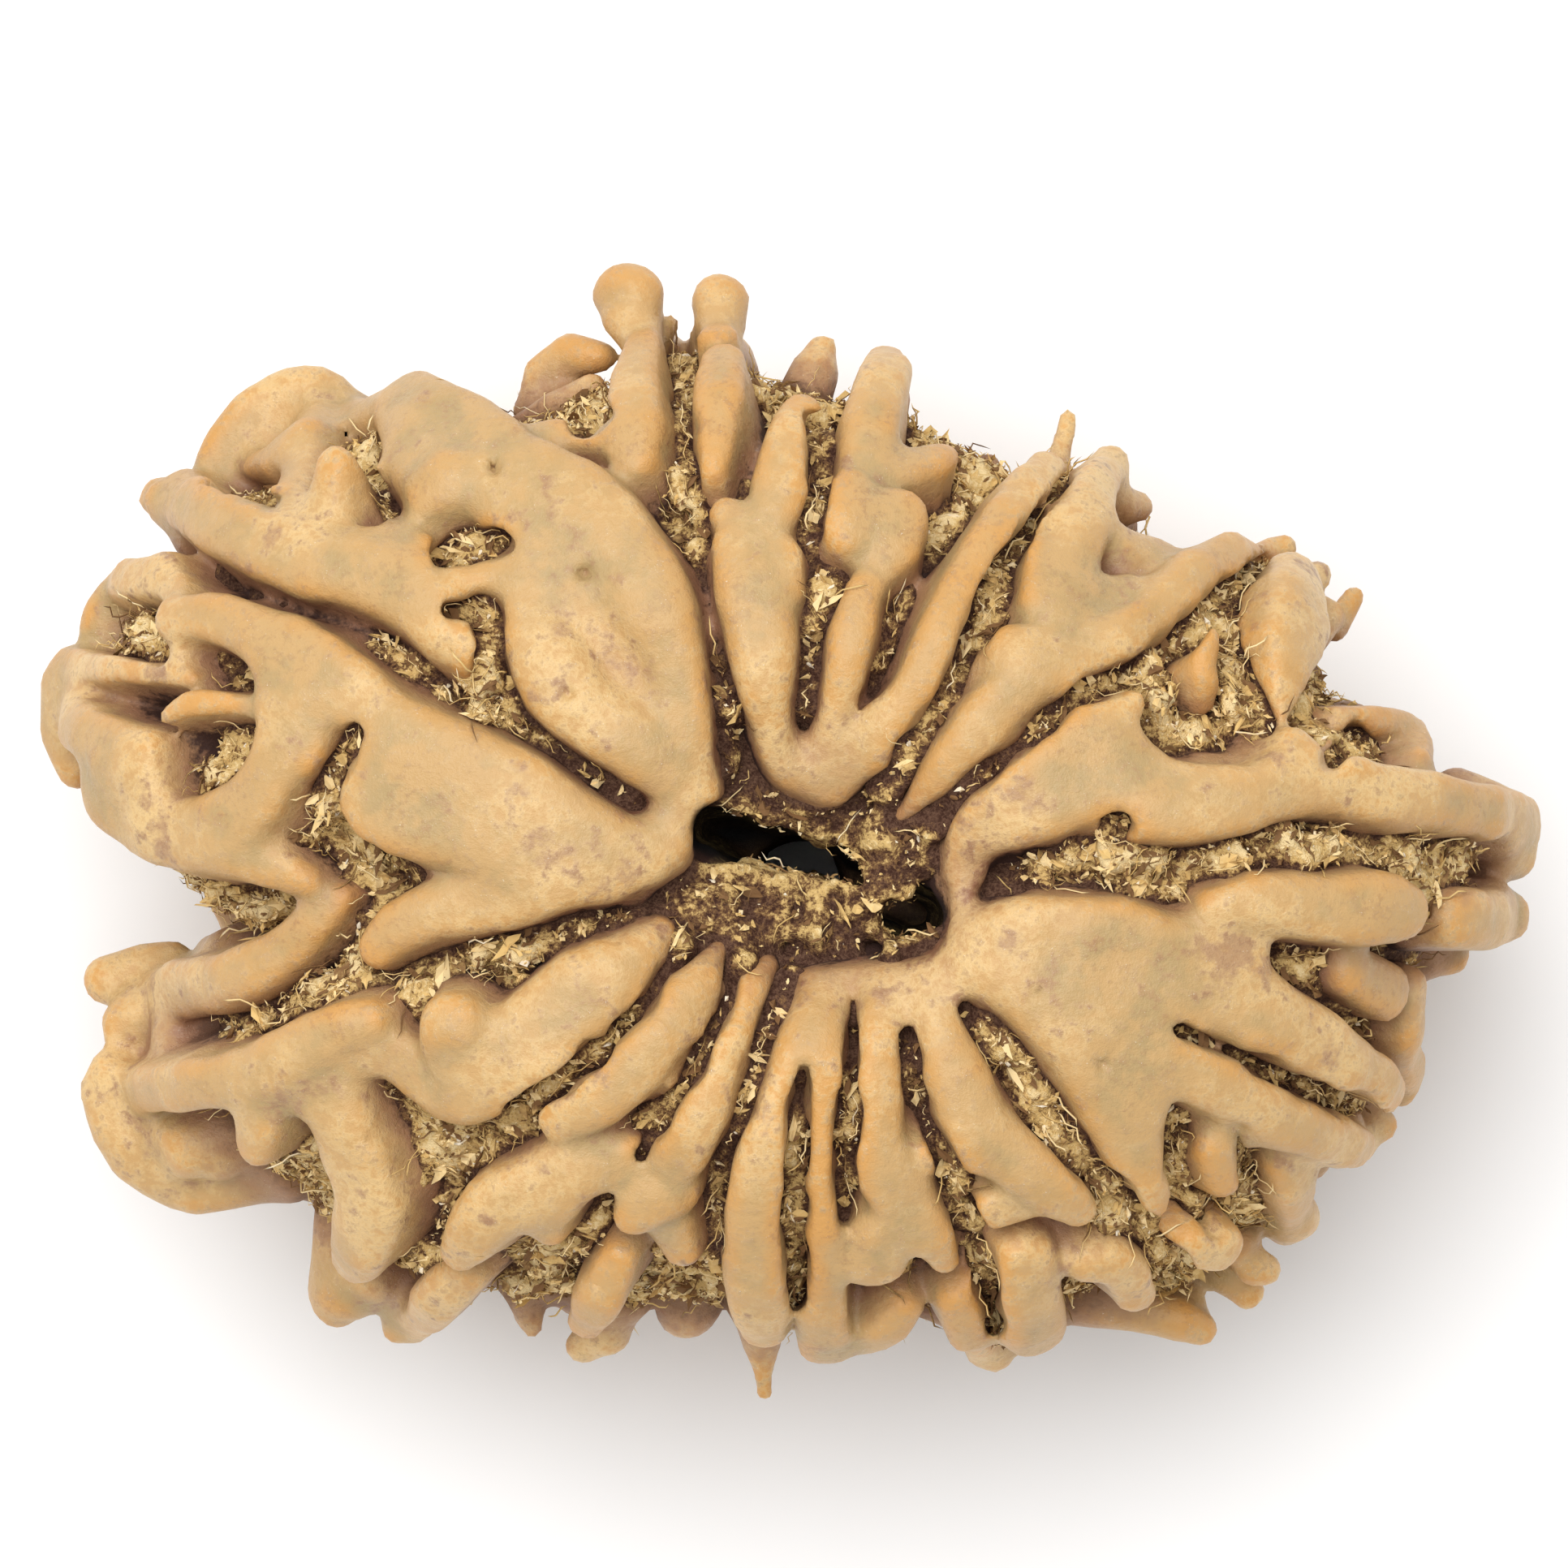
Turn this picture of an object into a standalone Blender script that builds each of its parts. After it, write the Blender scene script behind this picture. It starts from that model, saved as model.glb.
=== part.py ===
"""A rudraksha bead: the woody stone of a fruit, one grown piece, lying with its thread hole
upright.

The stone is an oval core whose surface is the floor of the furrows. Ribs stand on it. They
start round the slit mouth of the thread hole, fan out over the rim, end there in teeth, and
go on as keels down the side to the lower mouth.

A rib is a stroke: places along its crest, each (across, down, half width, height). They are
in steps, 1858 of them to the bead's length. Across and down are counted from a corner beyond
the bead's upper left as it is seen from over the mouth, and height is above the core. One
formula blends all strokes with the core into a single closed body.
"""

import bmesh
import bpy
import numpy as np

BEAD_LENGTH = 0.0340
STEPS_LONG = 1858
STEP = BEAD_LENGTH / STEPS_LONG

# The core, in steps: its axis, its reach at every 10 degrees from +X towards +Y, its half
# height, the power of its superellipse, and the dimple round each mouth.
AXIS_ACROSS, AXIS_DOWN = 985, 1045
CORE_REACH = [
    800, 700, 640, 600, 545, 515, 500, 495, 520, 540, 560, 560, 590, 635, 700, 760, 800, 815,
    745, 655, 755, 735, 690, 665, 605, 565, 545, 555, 560, 575, 620, 645, 660, 690, 715, 745,
]
CORE_HALF_HEIGHT = 470
CORE_POWER = 2.4
DIMPLE_DEPTH, DIMPLE_SPREAD = 90, 200

# A rib's rounded top is this thick at most. Below it the walls drop to the core, and they
# lean outwards by this share of their height.
TOP_THICKNESS = 45
WALL_LEAN = 0.12
RIB_BLEND = 9
ROOT_BLEND = 16

# The slit mouth (across, down, half width) and the round hole that goes on from it.
MOUTH = [(880, 1020, 30), (945, 1040, 40), (1010, 1075, 48), (1075, 1105, 44), (1130, 1128, 34)]
MOUTH_FLOOR = 80
HOLE_PLACE = (985, 1085)
HOLE_RADIUS = 55
LOWER_MOUTH_RADIUS = 95
HOLE_BLEND = 18

# The lobe left of the mouth and the ribs that climb from it to the upper left rim.
UPPER_LEFT = [
    [(858, 965, 24, 88), (850, 900, 30, 104), (838, 840, 36, 112), (815, 770, 40, 118),
     (785, 700, 44, 122), (745, 650, 44, 122), (700, 612, 46, 120), (640, 585, 42, 116),
     (580, 545, 48, 112), (520, 512, 40, 104)],
    [(810, 880, 40, 92), (770, 810, 60, 90), (720, 740, 62, 96), (680, 680, 55, 104),
     (640, 630, 45, 108)],
    [(668, 800, 40, 106), (690, 840, 48, 112), (740, 885, 44, 112), (790, 925, 40, 108),
     (835, 965, 34, 94)],
    [(700, 725, 30, 100), (640, 715, 22, 98), (580, 713, 18, 98), (520, 715, 24, 100)],
    [(620, 610, 34, 108), (570, 608, 34, 114), (535, 625, 24, 108), (505, 645, 18, 92)],
    [(650, 660, 24, 102), (660, 700, 26, 100), (655, 750, 24, 104)],
    [(520, 512, 40, 104), (528, 560, 42, 106), (545, 605, 36, 112)],
    [(515, 505, 38, 100), (455, 522, 22, 86), (412, 500, 34, 98), (378, 492, 32, 100),
     (335, 492, 26, 98), (302, 512, 24, 94), (280, 540, 22, 92), (272, 566, 18, 86)],
    [(272, 566, 18, 86), (310, 575, 14, 82), (350, 572, 20, 86), (385, 548, 26, 92),
     (398, 515, 26, 96)],
    [(385, 560, 24, 84), (378, 600, 20, 78), (368, 640, 24, 88)],
    [(420, 645, 36, 96), (420, 612, 26, 122), (420, 578, 17, 146)],
    [(196, 612, 20, 84), (228, 622, 32, 98), (270, 640, 42, 106), (320, 665, 44, 108),
     (370, 692, 40, 108), (420, 705, 40, 110), (470, 718, 44, 110), (520, 745, 44, 110),
     (555, 780, 36, 110), (580, 808, 26, 104)],
    [(350, 640, 22, 90), (400, 668, 18, 94), (450, 674, 16, 98), (510, 678, 20, 98),
     (560, 705, 18, 98)],
]

# The lobe below it, whose blunt cheek with its pits is the bead's left end.
LEFT = [
    [(215, 712, 22, 84), (180, 715, 26, 92), (150, 728, 26, 94), (125, 755, 26, 92),
     (118, 785, 18, 84)],
    [(215, 712, 22, 84), (235, 740, 16, 86)],
    [(228, 768, 24, 98), (265, 764, 28, 104), (305, 778, 32, 106), (350, 800, 38, 108),
     (400, 822, 42, 110), (445, 862, 44, 110), (500, 905, 46, 112), (560, 935, 48, 112),
     (620, 965, 46, 112), (680, 1000, 44, 110), (740, 1030, 40, 106), (790, 1042, 38, 98),
     (832, 1012, 30, 90), (852, 975, 26, 86)],
    [(345, 830, 26, 104), (352, 880, 30, 106), (350, 930, 36, 106), (330, 980, 44, 106),
     (290, 1015, 48, 104), (240, 1030, 46, 100), (190, 1010, 44, 96), (150, 970, 42, 92)],
    [(395, 880, 34, 106), (385, 930, 28, 104)],
    [(88, 822, 22, 86), (140, 826, 18, 88), (190, 832, 16, 86), (240, 838, 14, 82)],
    [(222, 790, 18, 90), (226, 818, 14, 84)],
    [(212, 880, 12, 96), (240, 868, 18, 102), (280, 866, 18, 98), (318, 872, 12, 92)],
    [(95, 850, 26, 82), (108, 890, 30, 86), (150, 915, 32, 92), (188, 925, 26, 94)],
    [(150, 970, 42, 92), (180, 950, 36, 94), (200, 990, 40, 96)],
    [(300, 1040, 38, 100), (345, 1062, 30, 96), (385, 1080, 18, 86)],
    [(450, 965, 32, 102), (475, 1000, 42, 108), (540, 1010, 58, 112), (620, 1030, 58, 112),
     (700, 1055, 48, 108), (770, 1062, 38, 98), (815, 1045, 30, 90)],
    [(465, 940, 30, 104), (500, 950, 40, 108)],
    [(472, 1165, 24, 98), (500, 1140, 34, 106), (550, 1120, 40, 108), (620, 1100, 44, 108),
     (690, 1082, 38, 104), (750, 1075, 32, 98)],
]

# The fork and the lobe on both sides of the long dark furrow at the lower left.
LOWER_LEFT = [
    [(428, 1103, 16, 76), (395, 1142, 26, 92), (350, 1178, 30, 98), (300, 1203, 34, 100),
     (240, 1217, 38, 98), (185, 1243, 34, 92), (152, 1262, 24, 82)],
    [(122, 1337, 16, 70), (152, 1345, 24, 84), (200, 1338, 28, 98), (250, 1331, 26, 102),
     (300, 1325, 26, 102), (345, 1311, 28, 102), (385, 1282, 28, 104), (425, 1258, 24, 104),
     (458, 1250, 18, 98)],
    [(150, 1375, 36, 84), (190, 1400, 44, 88), (235, 1408, 40, 86)],
    [(200, 1428, 36, 76)],
    [(332, 1340, 26, 94), (331, 1378, 24, 104), (324, 1403, 18, 104)],
    [(440, 1290, 34, 84), (490, 1290, 28, 78), (530, 1318, 28, 84), (560, 1335, 30, 92)],
    [(400, 1335, 26, 84), (430, 1350, 28, 86)],
    [(425, 1360, 24, 88), (450, 1415, 38, 96), (468, 1470, 40, 100), (458, 1515, 36, 100),
     (440, 1542, 24, 90)],
    [(812, 1150, 20, 78), (772, 1182, 38, 96), (722, 1217, 52, 108), (672, 1265, 54, 112),
     (622, 1312, 48, 112), (592, 1335, 32, 104)],
    [(565, 1285, 28, 100), (565, 1252, 34, 124)],
]

# The slender ribs below the mouth, fanning down to the lower rim.
BOTTOM = [
    [(885, 1168, 9, 58), (860, 1207, 17, 84), (825, 1250, 27, 100), (785, 1300, 35, 108),
     (740, 1340, 36, 108), (697, 1370, 26, 100)],
    [(945, 1187, 9, 60), (922, 1222, 14, 82), (898, 1275, 20, 96), (875, 1330, 28, 104),
     (850, 1378, 32, 106), (842, 1408, 26, 98)],
    [(838, 1458, 18, 86), (803, 1470, 24, 98), (782, 1490, 20, 100)],
    [(770, 1420, 24, 82), (720, 1430, 34, 90), (670, 1450, 38, 94), (620, 1480, 34, 98),
     (590, 1513, 28, 100), (573, 1533, 19, 94)],
    [(682, 1470, 28, 92), (682, 1506, 15, 92)],
    [(765, 1542, 17, 86), (746, 1580, 24, 94), (724, 1624, 17, 88)],
    [(830, 1500, 22, 76), (842, 1532, 14, 78)],
    [(577, 1560, 24, 76), (546, 1596, 27, 84), (514, 1636, 19, 80)],
    [(1012, 1235, 20, 70), (988, 1282, 22, 90), (970, 1330, 22, 100), (948, 1400, 26, 108),
     (933, 1465, 33, 112), (932, 1530, 34, 112), (935, 1588, 30, 106), (940, 1628, 19, 98)],
    [(1022, 1235, 16, 70), (1016, 1290, 14, 92), (1012, 1345, 12, 98), (1011, 1410, 13, 100),
     (1012, 1480, 14, 98), (1013, 1545, 18, 96), (1015, 1605, 23, 90), (1015, 1652, 21, 80)],
    [(1088, 1222, 18, 80), (1082, 1280, 22, 98), (1074, 1340, 30, 106), (1073, 1398, 34, 110),
     (1088, 1435, 34, 108), (1116, 1470, 27, 100), (1145, 1515, 21, 98), (1161, 1548, 13, 92)],
    [(1086, 1512, 32, 96), (1080, 1542, 33, 96)],
    [(1112, 1602, 15, 78), (1088, 1625, 21, 82), (1070, 1640, 16, 78)],
    [(1150, 1235, 22, 80), (1160, 1280, 25, 96), (1180, 1330, 33, 106), (1197, 1380, 38, 110),
     (1240, 1415, 33, 108), (1290, 1455, 27, 106), (1323, 1480, 17, 98)],
    [(1165, 1410, 24, 100), (1190, 1400, 30, 104)],
    [(1215, 1482, 20, 94), (1255, 1467, 19, 88)],
    [(1248, 1540, 36, 90), (1260, 1590, 42, 94), (1272, 1634, 30, 86)],
    [(1176, 1592, 18, 80), (1195, 1636, 19, 84), (1206, 1668, 13, 80)],
    [(1000, 1216, 20, 62), (1060, 1212, 26, 70), (1120, 1212, 30, 76), (1180, 1200, 34, 86)],
]

# The wide plate right of the mouth, which parts into long ribs.
LOWER_RIGHT = [
    [(1180, 1118, 24, 76), (1205, 1150, 34, 90), (1290, 1140, 42, 104), (1375, 1136, 34, 104),
     (1425, 1150, 22, 96)],
    [(1190, 1170, 30, 80), (1240, 1200, 40, 98), (1310, 1240, 52, 104), (1365, 1310, 56, 106),
     (1385, 1380, 42, 108), (1400, 1440, 35, 106), (1405, 1472, 23, 98)],
    [(1340, 1200, 50, 100), (1420, 1260, 44, 102), (1460, 1310, 32, 104), (1520, 1350, 30, 108),
     (1590, 1382, 27, 104), (1645, 1404, 23, 96), (1678, 1413, 16, 88)],
    [(1400, 1180, 50, 98), (1480, 1200, 50, 98), (1555, 1240, 46, 104), (1615, 1285, 40, 106),
     (1665, 1320, 30, 102), (1702, 1342, 20, 94)],
    [(1492, 1115, 22, 96), (1540, 1110, 36, 104), (1610, 1116, 44, 108), (1680, 1118, 46, 110),
     (1722, 1120, 36, 104)],
    [(1450, 1165, 36, 92), (1520, 1165, 38, 92)],
    [(1780, 1130, 36, 80), (1822, 1130, 38, 80), (1855, 1130, 26, 70)],
    [(1650, 1190, 32, 66), (1692, 1215, 32, 62)],
    [(1728, 1215, 22, 60), (1722, 1265, 24, 70), (1725, 1310, 24, 74), (1724, 1342, 20, 70)],
    [(1490, 1405, 22, 86), (1500, 1440, 20, 84)],
    [(1575, 1420, 26, 78), (1585, 1468, 27, 82), (1580, 1505, 22, 74)],
    [(1458, 1525, 24, 96), (1495, 1528, 21, 100)],
    [(1520, 1572, 27, 84), (1535, 1590, 21, 80)],
    [(1337, 1545, 22, 86), (1370, 1550, 24, 92), (1394, 1583, 21, 92), (1406, 1598, 13, 86)],
    [(1450, 1600, 28, 70), (1465, 1630, 26, 60)],
]

# The lobe at the right, whose long rib ends in the bead's right tip.
RIGHT = [
    [(1185, 1070, 30, 78), (1195, 1018, 34, 90), (1240, 975, 40, 102), (1300, 925, 44, 108),
     (1350, 893, 34, 106), (1387, 868, 20, 102)],
    [(1215, 1025, 32, 92), (1290, 1000, 42, 104), (1340, 985, 40, 104), (1400, 1000, 36, 106),
     (1465, 1002, 32, 106), (1530, 985, 38, 108), (1600, 965, 42, 110), (1680, 977, 38, 108),
     (1750, 987, 38, 102), (1820, 1002, 38, 90), (1868, 1010, 32, 74)],
    [(1370, 930, 42, 104), (1430, 965, 30, 100), (1500, 970, 22, 100)],
    [(1582, 932, 30, 104), (1600, 960, 40, 106)],
    [(1640, 888, 18, 78), (1700, 893, 22, 82), (1736, 908, 24, 78), (1742, 945, 26, 86)],
    [(1647, 928, 15, 90)],
    [(1480, 948, 16, 58), (1520, 945, 14, 56)],
]

# The ribs above the mouth: three from one foot in a V, the short ones and cones beyond them,
# and the forked ribs of the upper right.
TOP = [
    [(790, 572, 26, 94), (785, 535, 34, 104), (785, 480, 26, 108), (793, 430, 19, 110),
     (797, 392, 16, 108)],
    [(745, 545, 26, 92), (690, 545, 20, 84), (655, 555, 16, 80)],
    [(893, 455, 22, 94), (889, 500, 27, 104), (882, 550, 23, 100), (878, 585, 15, 92)],
    [(887, 425, 20, 98), (885, 412, 17, 96)],
    [(988, 515, 22, 92), (976, 555, 32, 100), (962, 605, 32, 98), (950, 645, 22, 88)],
    [(895, 640, 20, 82), (930, 652, 18, 82), (955, 640, 18, 84)],
    [(903, 682, 24, 92), (922, 722, 35, 104), (935, 770, 41, 108), (940, 820, 36, 108),
     (945, 870, 26, 102), (952, 915, 18, 88), (968, 948, 15, 74)],
    [(965, 690, 20, 94), (968, 730, 20, 96)],
    [(1056, 590, 24, 82), (1070, 540, 34, 98), (1083, 490, 34, 104), (1090, 446, 20, 98)],
    [(1095, 590, 24, 82), (1140, 580, 28, 88), (1158, 568, 17, 84)],
    [(1040, 665, 22, 94), (1035, 632, 25, 100), (1045, 610, 18, 94)],
    [(1070, 640, 24, 90), (1105, 640, 25, 98), (1100, 680, 25, 96), (1080, 712, 16, 86)],
    [(1060, 737, 19, 92), (1050, 780, 24, 100), (1040, 830, 19, 98), (1028, 880, 16, 90),
     (1020, 930, 24, 82), (1022, 963, 22, 74)],
    [(972, 930, 18, 74), (998, 955, 26, 78), (1025, 965, 24, 74), (1058, 932, 24, 82),
     (1085, 897, 22, 92)],
    [(1283, 583, 16, 94), (1256, 625, 27, 104), (1220, 680, 31, 108), (1186, 735, 34, 110),
     (1160, 790, 32, 110), (1135, 840, 27, 106), (1105, 885, 24, 96), (1075, 925, 22, 84)],
    [(1366, 573, 20, 88), (1345, 610, 23, 98), (1325, 660, 24, 100), (1310, 710, 26, 96),
     (1300, 760, 32, 98)],
    [(1276, 702, 20, 96), (1276, 745, 24, 98)],
    [(1235, 805, 30, 100), (1270, 815, 34, 104), (1305, 830, 28, 100)],
    [(1250, 845, 34, 104), (1207, 890, 30, 102), (1172, 935, 25, 96), (1137, 980, 19, 84),
     (1112, 1003, 13, 70)],
    [(1340, 812, 28, 96), (1378, 788, 30, 100), (1420, 755, 30, 104), (1465, 717, 30, 102),
     (1510, 693, 24, 94), (1550, 685, 18, 84), (1583, 674, 16, 78)],
    [(1330, 755, 30, 84), (1385, 745, 26, 80)],
    [(1375, 690, 26, 74), (1415, 697, 24, 64)],
    [(1585, 725, 38, 88), (1586, 760, 50, 100), (1573, 805, 42, 104), (1568, 850, 26, 98),
     (1565, 882, 12, 84)],
    [(1475, 862, 20, 66), (1475, 828, 28, 96), (1479, 793, 22, 110)],
]

# Teeth and spines of the rim: places (across, down, height above the waist, radius).
TEETH = [
    [(790, 430, 150, 24), (776, 385, 120, 38), (774, 359, 105, 47)],
    [(890, 430, 150, 24), (888, 398, 120, 35), (889, 366, 105, 36)],
    [(652, 505, 60, 18), (668, 462, 60, 22), (702, 434, 70, 24), (738, 440, 90, 20)],
    [(632, 532, 110, 18), (682, 505, 130, 22), (730, 478, 150, 20)],
    [(985, 505, 120, 36), (1003, 460, 100, 30), (1012, 430, 85, 18)],
    [(1100, 545, 80, 20), (1104, 490, 60, 20)],
    [(1220, 610, 120, 24), (1218, 572, 100, 17)],
    [(1298, 590, 120, 15), (1308, 545, 90, 11), (1314, 515, 75, 8)],
    [(1350, 600, 140, 22), (1372, 568, 110, 18)],
    [(1380, 625, 110, 24), (1402, 625, 80, 20)],
    [(1600, 720, 100, 24), (1622, 708, 80, 18)],
    [(1610, 780, 90, 26), (1635, 760, 70, 20)],
    [(1645, 775, 40, 16), (1668, 735, 30, 14)],
    [(1600, 850, 60, 24), (1613, 835, 40, 14)],
    [(1796, 970, 40, 28), (1838, 986, 30, 22)],
    [(1850, 1050, 20, 30), (1868, 1055, 0, 22)],
    [(1760, 1180, -20, 26), (1790, 1180, -30, 20)],
    [(1745, 1195, -40, 18)],
    [(1690, 1380, 20, 22), (1705, 1388, 10, 20)],
    [(1605, 1430, 40, 18), (1618, 1433, 30, 15)],
    [(1590, 1500, 60, 28), (1600, 1500, 40, 22)],
    [(1545, 1560, 60, 22), (1558, 1563, 50, 18)],
    [(1340, 1600, 60, 32), (1400, 1615, 50, 30), (1450, 1630, 50, 30), (1475, 1640, 40, 22)],
    [(1225, 1620, 70, 24), (1225, 1675, 20, 18)],
    [(1275, 1630, 60, 28), (1270, 1650, 30, 20)],
    [(1080, 1640, 40, 20), (1082, 1650, 20, 14)],
    [(1140, 1600, 80, 24), (1190, 1620, 60, 20)],
    [(936, 1600, 90, 32), (940, 1660, 40, 23), (942, 1722, 10, 10)],
    [(845, 1560, 80, 28), (844, 1614, 30, 36)],
    [(838, 396, 90, 12), (842, 460, 110, 20)],
    [(1308, 1588, 60, 24)],
    [(758, 1600, 60, 36), (745, 1640, 40, 36), (722, 1662, 25, 24)],
    [(775, 1600, 60, 24)],
    [(605, 1520, 90, 28), (635, 1570, 60, 26), (652, 1625, 30, 18), (655, 1638, 25, 12)],
    [(440, 1545, 60, 42), (425, 1590, 40, 40), (415, 1608, 20, 30)],
    [(495, 1600, 30, 18), (487, 1642, 10, 14)],
    [(424, 1470, 70, 30), (408, 1535, 50, 28), (404, 1590, 20, 26)],
    [(350, 1445, 40, 34), (290, 1455, 30, 30), (245, 1470, 20, 24)],
    [(370, 1400, 60, 34), (352, 1420, 50, 24)],
    [(80, 850, -20, 28), (78, 900, -30, 28), (95, 945, -20, 26)],
    [(130, 1205, -40, 26), (175, 1192, -40, 26), (215, 1182, -30, 22)],
    [(130, 1320, 20, 22), (120, 1340, 10, 16)],
    [(146, 1368, 20, 28), (172, 1418, 10, 36), (222, 1450, 0, 34)],
    [(222, 612, 50, 28), (202, 612, 40, 20)],
    [(1652, 905, 60, 26), (1700, 900, 50, 24), (1738, 920, 40, 24)],
]

# Where keels go on down the side: places (across, down) of teeth and rib ends at the rim.
KEEL_STARTS = [
    (1885, 1011), (1855, 1125), (1745, 1200), (1715, 895), (1620, 760), (1500, 700), (1385, 610),
    (1215, 580), (1090, 470), (888, 380), (780, 350), (670, 470), (540, 500), (420, 490),
    (290, 510), (195, 612), (140, 720), (65, 870), (200, 1050), (130, 1200), (125, 1330),
    (200, 1450), (320, 1460), (415, 1600), (505, 1620), (650, 1610), (730, 1640), (845, 1610),
    (940, 1640), (1070, 1640), (1220, 1650), (1390, 1610), (1545, 1570), (1690, 1385),
    (1740, 1290),
]
KEEL_FALLS = [6, -8, -22, -35, -47, -59, -70, -80]
KEEL_JOIN_FALL = -47
SIDE_WIDTH = (22, 42)
SIDE_HEIGHT = (70, 118)
WAIST_HEIGHT = (18, 92)
SPUR_FALL = -20
SPUR_WIDTH = (13, 20)
SPUR_LENGTH = (40, 64)
SEED = 18

# The solid is skinned on a lattice of this spacing, thinned to this many triangles, and its
# lowest crests are worn flat at this level, where it rests.
LATTICE = 18
TRIANGLES = 11400
SEAT_LEVEL = -522

TAN = (0.761, 0.479, 0.202, 1.0)
ROUGHNESS = 0.46


def reach_of_core(angle):
    """The core's reach towards an angle: a smooth closed curve through CORE_REACH."""
    turn = np.mod(np.asarray(angle, float) / (2 * np.pi), 1) * len(CORE_REACH)
    low = np.floor(turn).astype(int)
    share = turn - low
    reach = np.array(CORE_REACH, float)
    before, here, after, beyond = (reach[(low + i) % len(reach)] for i in (-1, 0, 1, 2))
    bend = 2 * before - 5 * here + 4 * after - beyond
    twist = 3 * (here - after) + beyond - before
    return here + share * (after - before + share * (bend + share * twist)) / 2


def dimple(x, y):
    """How far the core dips at a place seen from above, measured from the slit's middle."""
    x = x - (MOUTH[2][0] - AXIS_ACROSS)
    y = y - (AXIS_DOWN - MOUTH[2][1])
    return DIMPLE_DEPTH * np.exp(-(x**2 + y**2) / DIMPLE_SPREAD**2)


def crest_place(across, down, height):
    """The point at a height above the core's upper side, and the outward direction there."""
    x, y = across - AXIS_ACROSS, AXIS_DOWN - down
    distance = np.hypot(x, y)
    reach = float(reach_of_core(np.arctan2(y, x))) + height
    tall = CORE_HALF_HEIGHT + height
    share = min(distance / reach, 1.0)
    rise = (1 - share**CORE_POWER) ** (1 / CORE_POWER)
    side = share ** (CORE_POWER - 1) / reach
    normal = np.array([x / distance * side, y / distance * side, rise ** (CORE_POWER - 1) / tall])
    return np.array([x, y, rise * tall - dimple(x, y)]), normal / np.linalg.norm(normal)


def side_place(angle, fall, height):
    """The point at a height above the core's side, at an angle round it and at a fall in
    degrees from its waist, and the outward direction there."""
    level, out = np.sin(np.radians(fall)), np.cos(np.radians(fall))
    reach = float(reach_of_core(angle))
    flat = out ** (2 / CORE_POWER)
    rise = np.sign(level) * abs(level) ** (2 / CORE_POWER)
    side = flat ** (CORE_POWER - 1) / reach
    up = np.sign(rise) * abs(rise) ** (CORE_POWER - 1) / CORE_HALF_HEIGHT
    normal = np.array([np.cos(angle) * side, np.sin(angle) * side, up])
    normal /= np.linalg.norm(normal)
    x, y = reach * flat * np.cos(angle), reach * flat * np.sin(angle)
    core = np.array([x, y, rise * CORE_HALF_HEIGHT - np.sign(rise) * dimple(x, y)])
    return core + normal * height, normal


def smoothed(rib):
    """A rib's places with one more between each two, on a smooth curve through them."""
    places = np.array(rib, float)
    if len(places) < 3:
        return places
    before = np.vstack([2 * places[0] - places[1], places[:-2]])
    after = np.vstack([places[2:], 2 * places[-1] - places[-2]])
    between = (9 * (places[:-1] + places[1:]) - before - after) / 16
    full = np.empty((2 * len(places) - 1, places.shape[1]))
    full[::2], full[1::2] = places, between
    return full


def drawn_ribs():
    """The ribs of the upper side, as lists of knots: the middle of the rounded top, the
    outward direction, the half width, the top's thickness and the depth of the walls."""
    knots = []
    for rib in UPPER_LEFT + LEFT + LOWER_LEFT + BOTTOM + LOWER_RIGHT + RIGHT + TOP:
        knots.append([])
        for across, down, width, height in smoothed(rib):
            point, normal = crest_place(across, down, height)
            thick = min(width, TOP_THICKNESS)
            middle = point - normal * thick * (0, 0, 1)
            knots[-1].append((middle, normal, width, thick, height + 40))
    return knots


def side_knot(turn, fall, width, height):
    """One place of a keel or a spur, as the same five values."""
    point, normal = side_place(turn, fall, height)
    return point - normal * width, normal, width, width, height + 40


def keels():
    """The ribs of the side and the underside. Each goes down from a rim tooth and reaches
    less far out than the tooth. Every second one joins its neighbour, and the others end
    round the lower mouth. Short spurs stand out sideways on the way."""
    chance = np.random.default_rng(SEED)
    starts = sorted((np.arctan2(AXIS_DOWN - down, across - AXIS_ACROSS),
                     np.hypot(across - AXIS_ACROSS, AXIS_DOWN - down))
                    for across, down in KEEL_STARTS)
    knots = []
    for number, (angle, distance) in enumerate(starts):
        next_angle = starts[(number + 1) % len(starts)][0]
        turn_to_next = (next_angle - angle) % (2 * np.pi)
        joins = number % 2 == 1
        waist = np.clip(distance - float(reach_of_core(angle)) - 14, *WAIST_HEIGHT)
        keel = []
        for fall in KEEL_FALLS:
            lower = np.clip(-fall / 45, 0, 1)
            turn = angle + chance.normal(0, 0.012 + 0.030 * lower)
            if joins:
                turn += turn_to_next * np.clip((KEEL_JOIN_FALL + 16 - fall) / 24, 0, 1)
            height = waist * (1 - lower) + chance.uniform(*SIDE_HEIGHT) * lower
            width = chance.uniform(*SIDE_WIDTH) * (1 - 0.35 * np.clip(-fall / 80, 0, 1))
            keel.append((turn, fall, width, height))
            if joins and fall < KEEL_JOIN_FALL:
                break
        knots.append([side_knot(*place) for place in smoothed(keel)])
        for turn, fall, width, height in keel[1:-1]:
            if fall > SPUR_FALL:
                continue
            around = max(float(reach_of_core(turn)) * np.cos(np.radians(fall)), 200)
            for sideways in (-1, 1):
                tip_turn = turn + sideways * chance.uniform(*SPUR_LENGTH) / around
                tip_fall = fall + chance.uniform(-5, 5)
                tip_height = height * chance.uniform(0.7, 1.0)
                tip = (tip_turn, tip_fall, chance.uniform(*SPUR_WIDTH), tip_height)
                if chance.random() < 0.6:
                    knots.append([side_knot(turn, fall, width * 0.8, height), side_knot(*tip)])
    return knots


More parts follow.
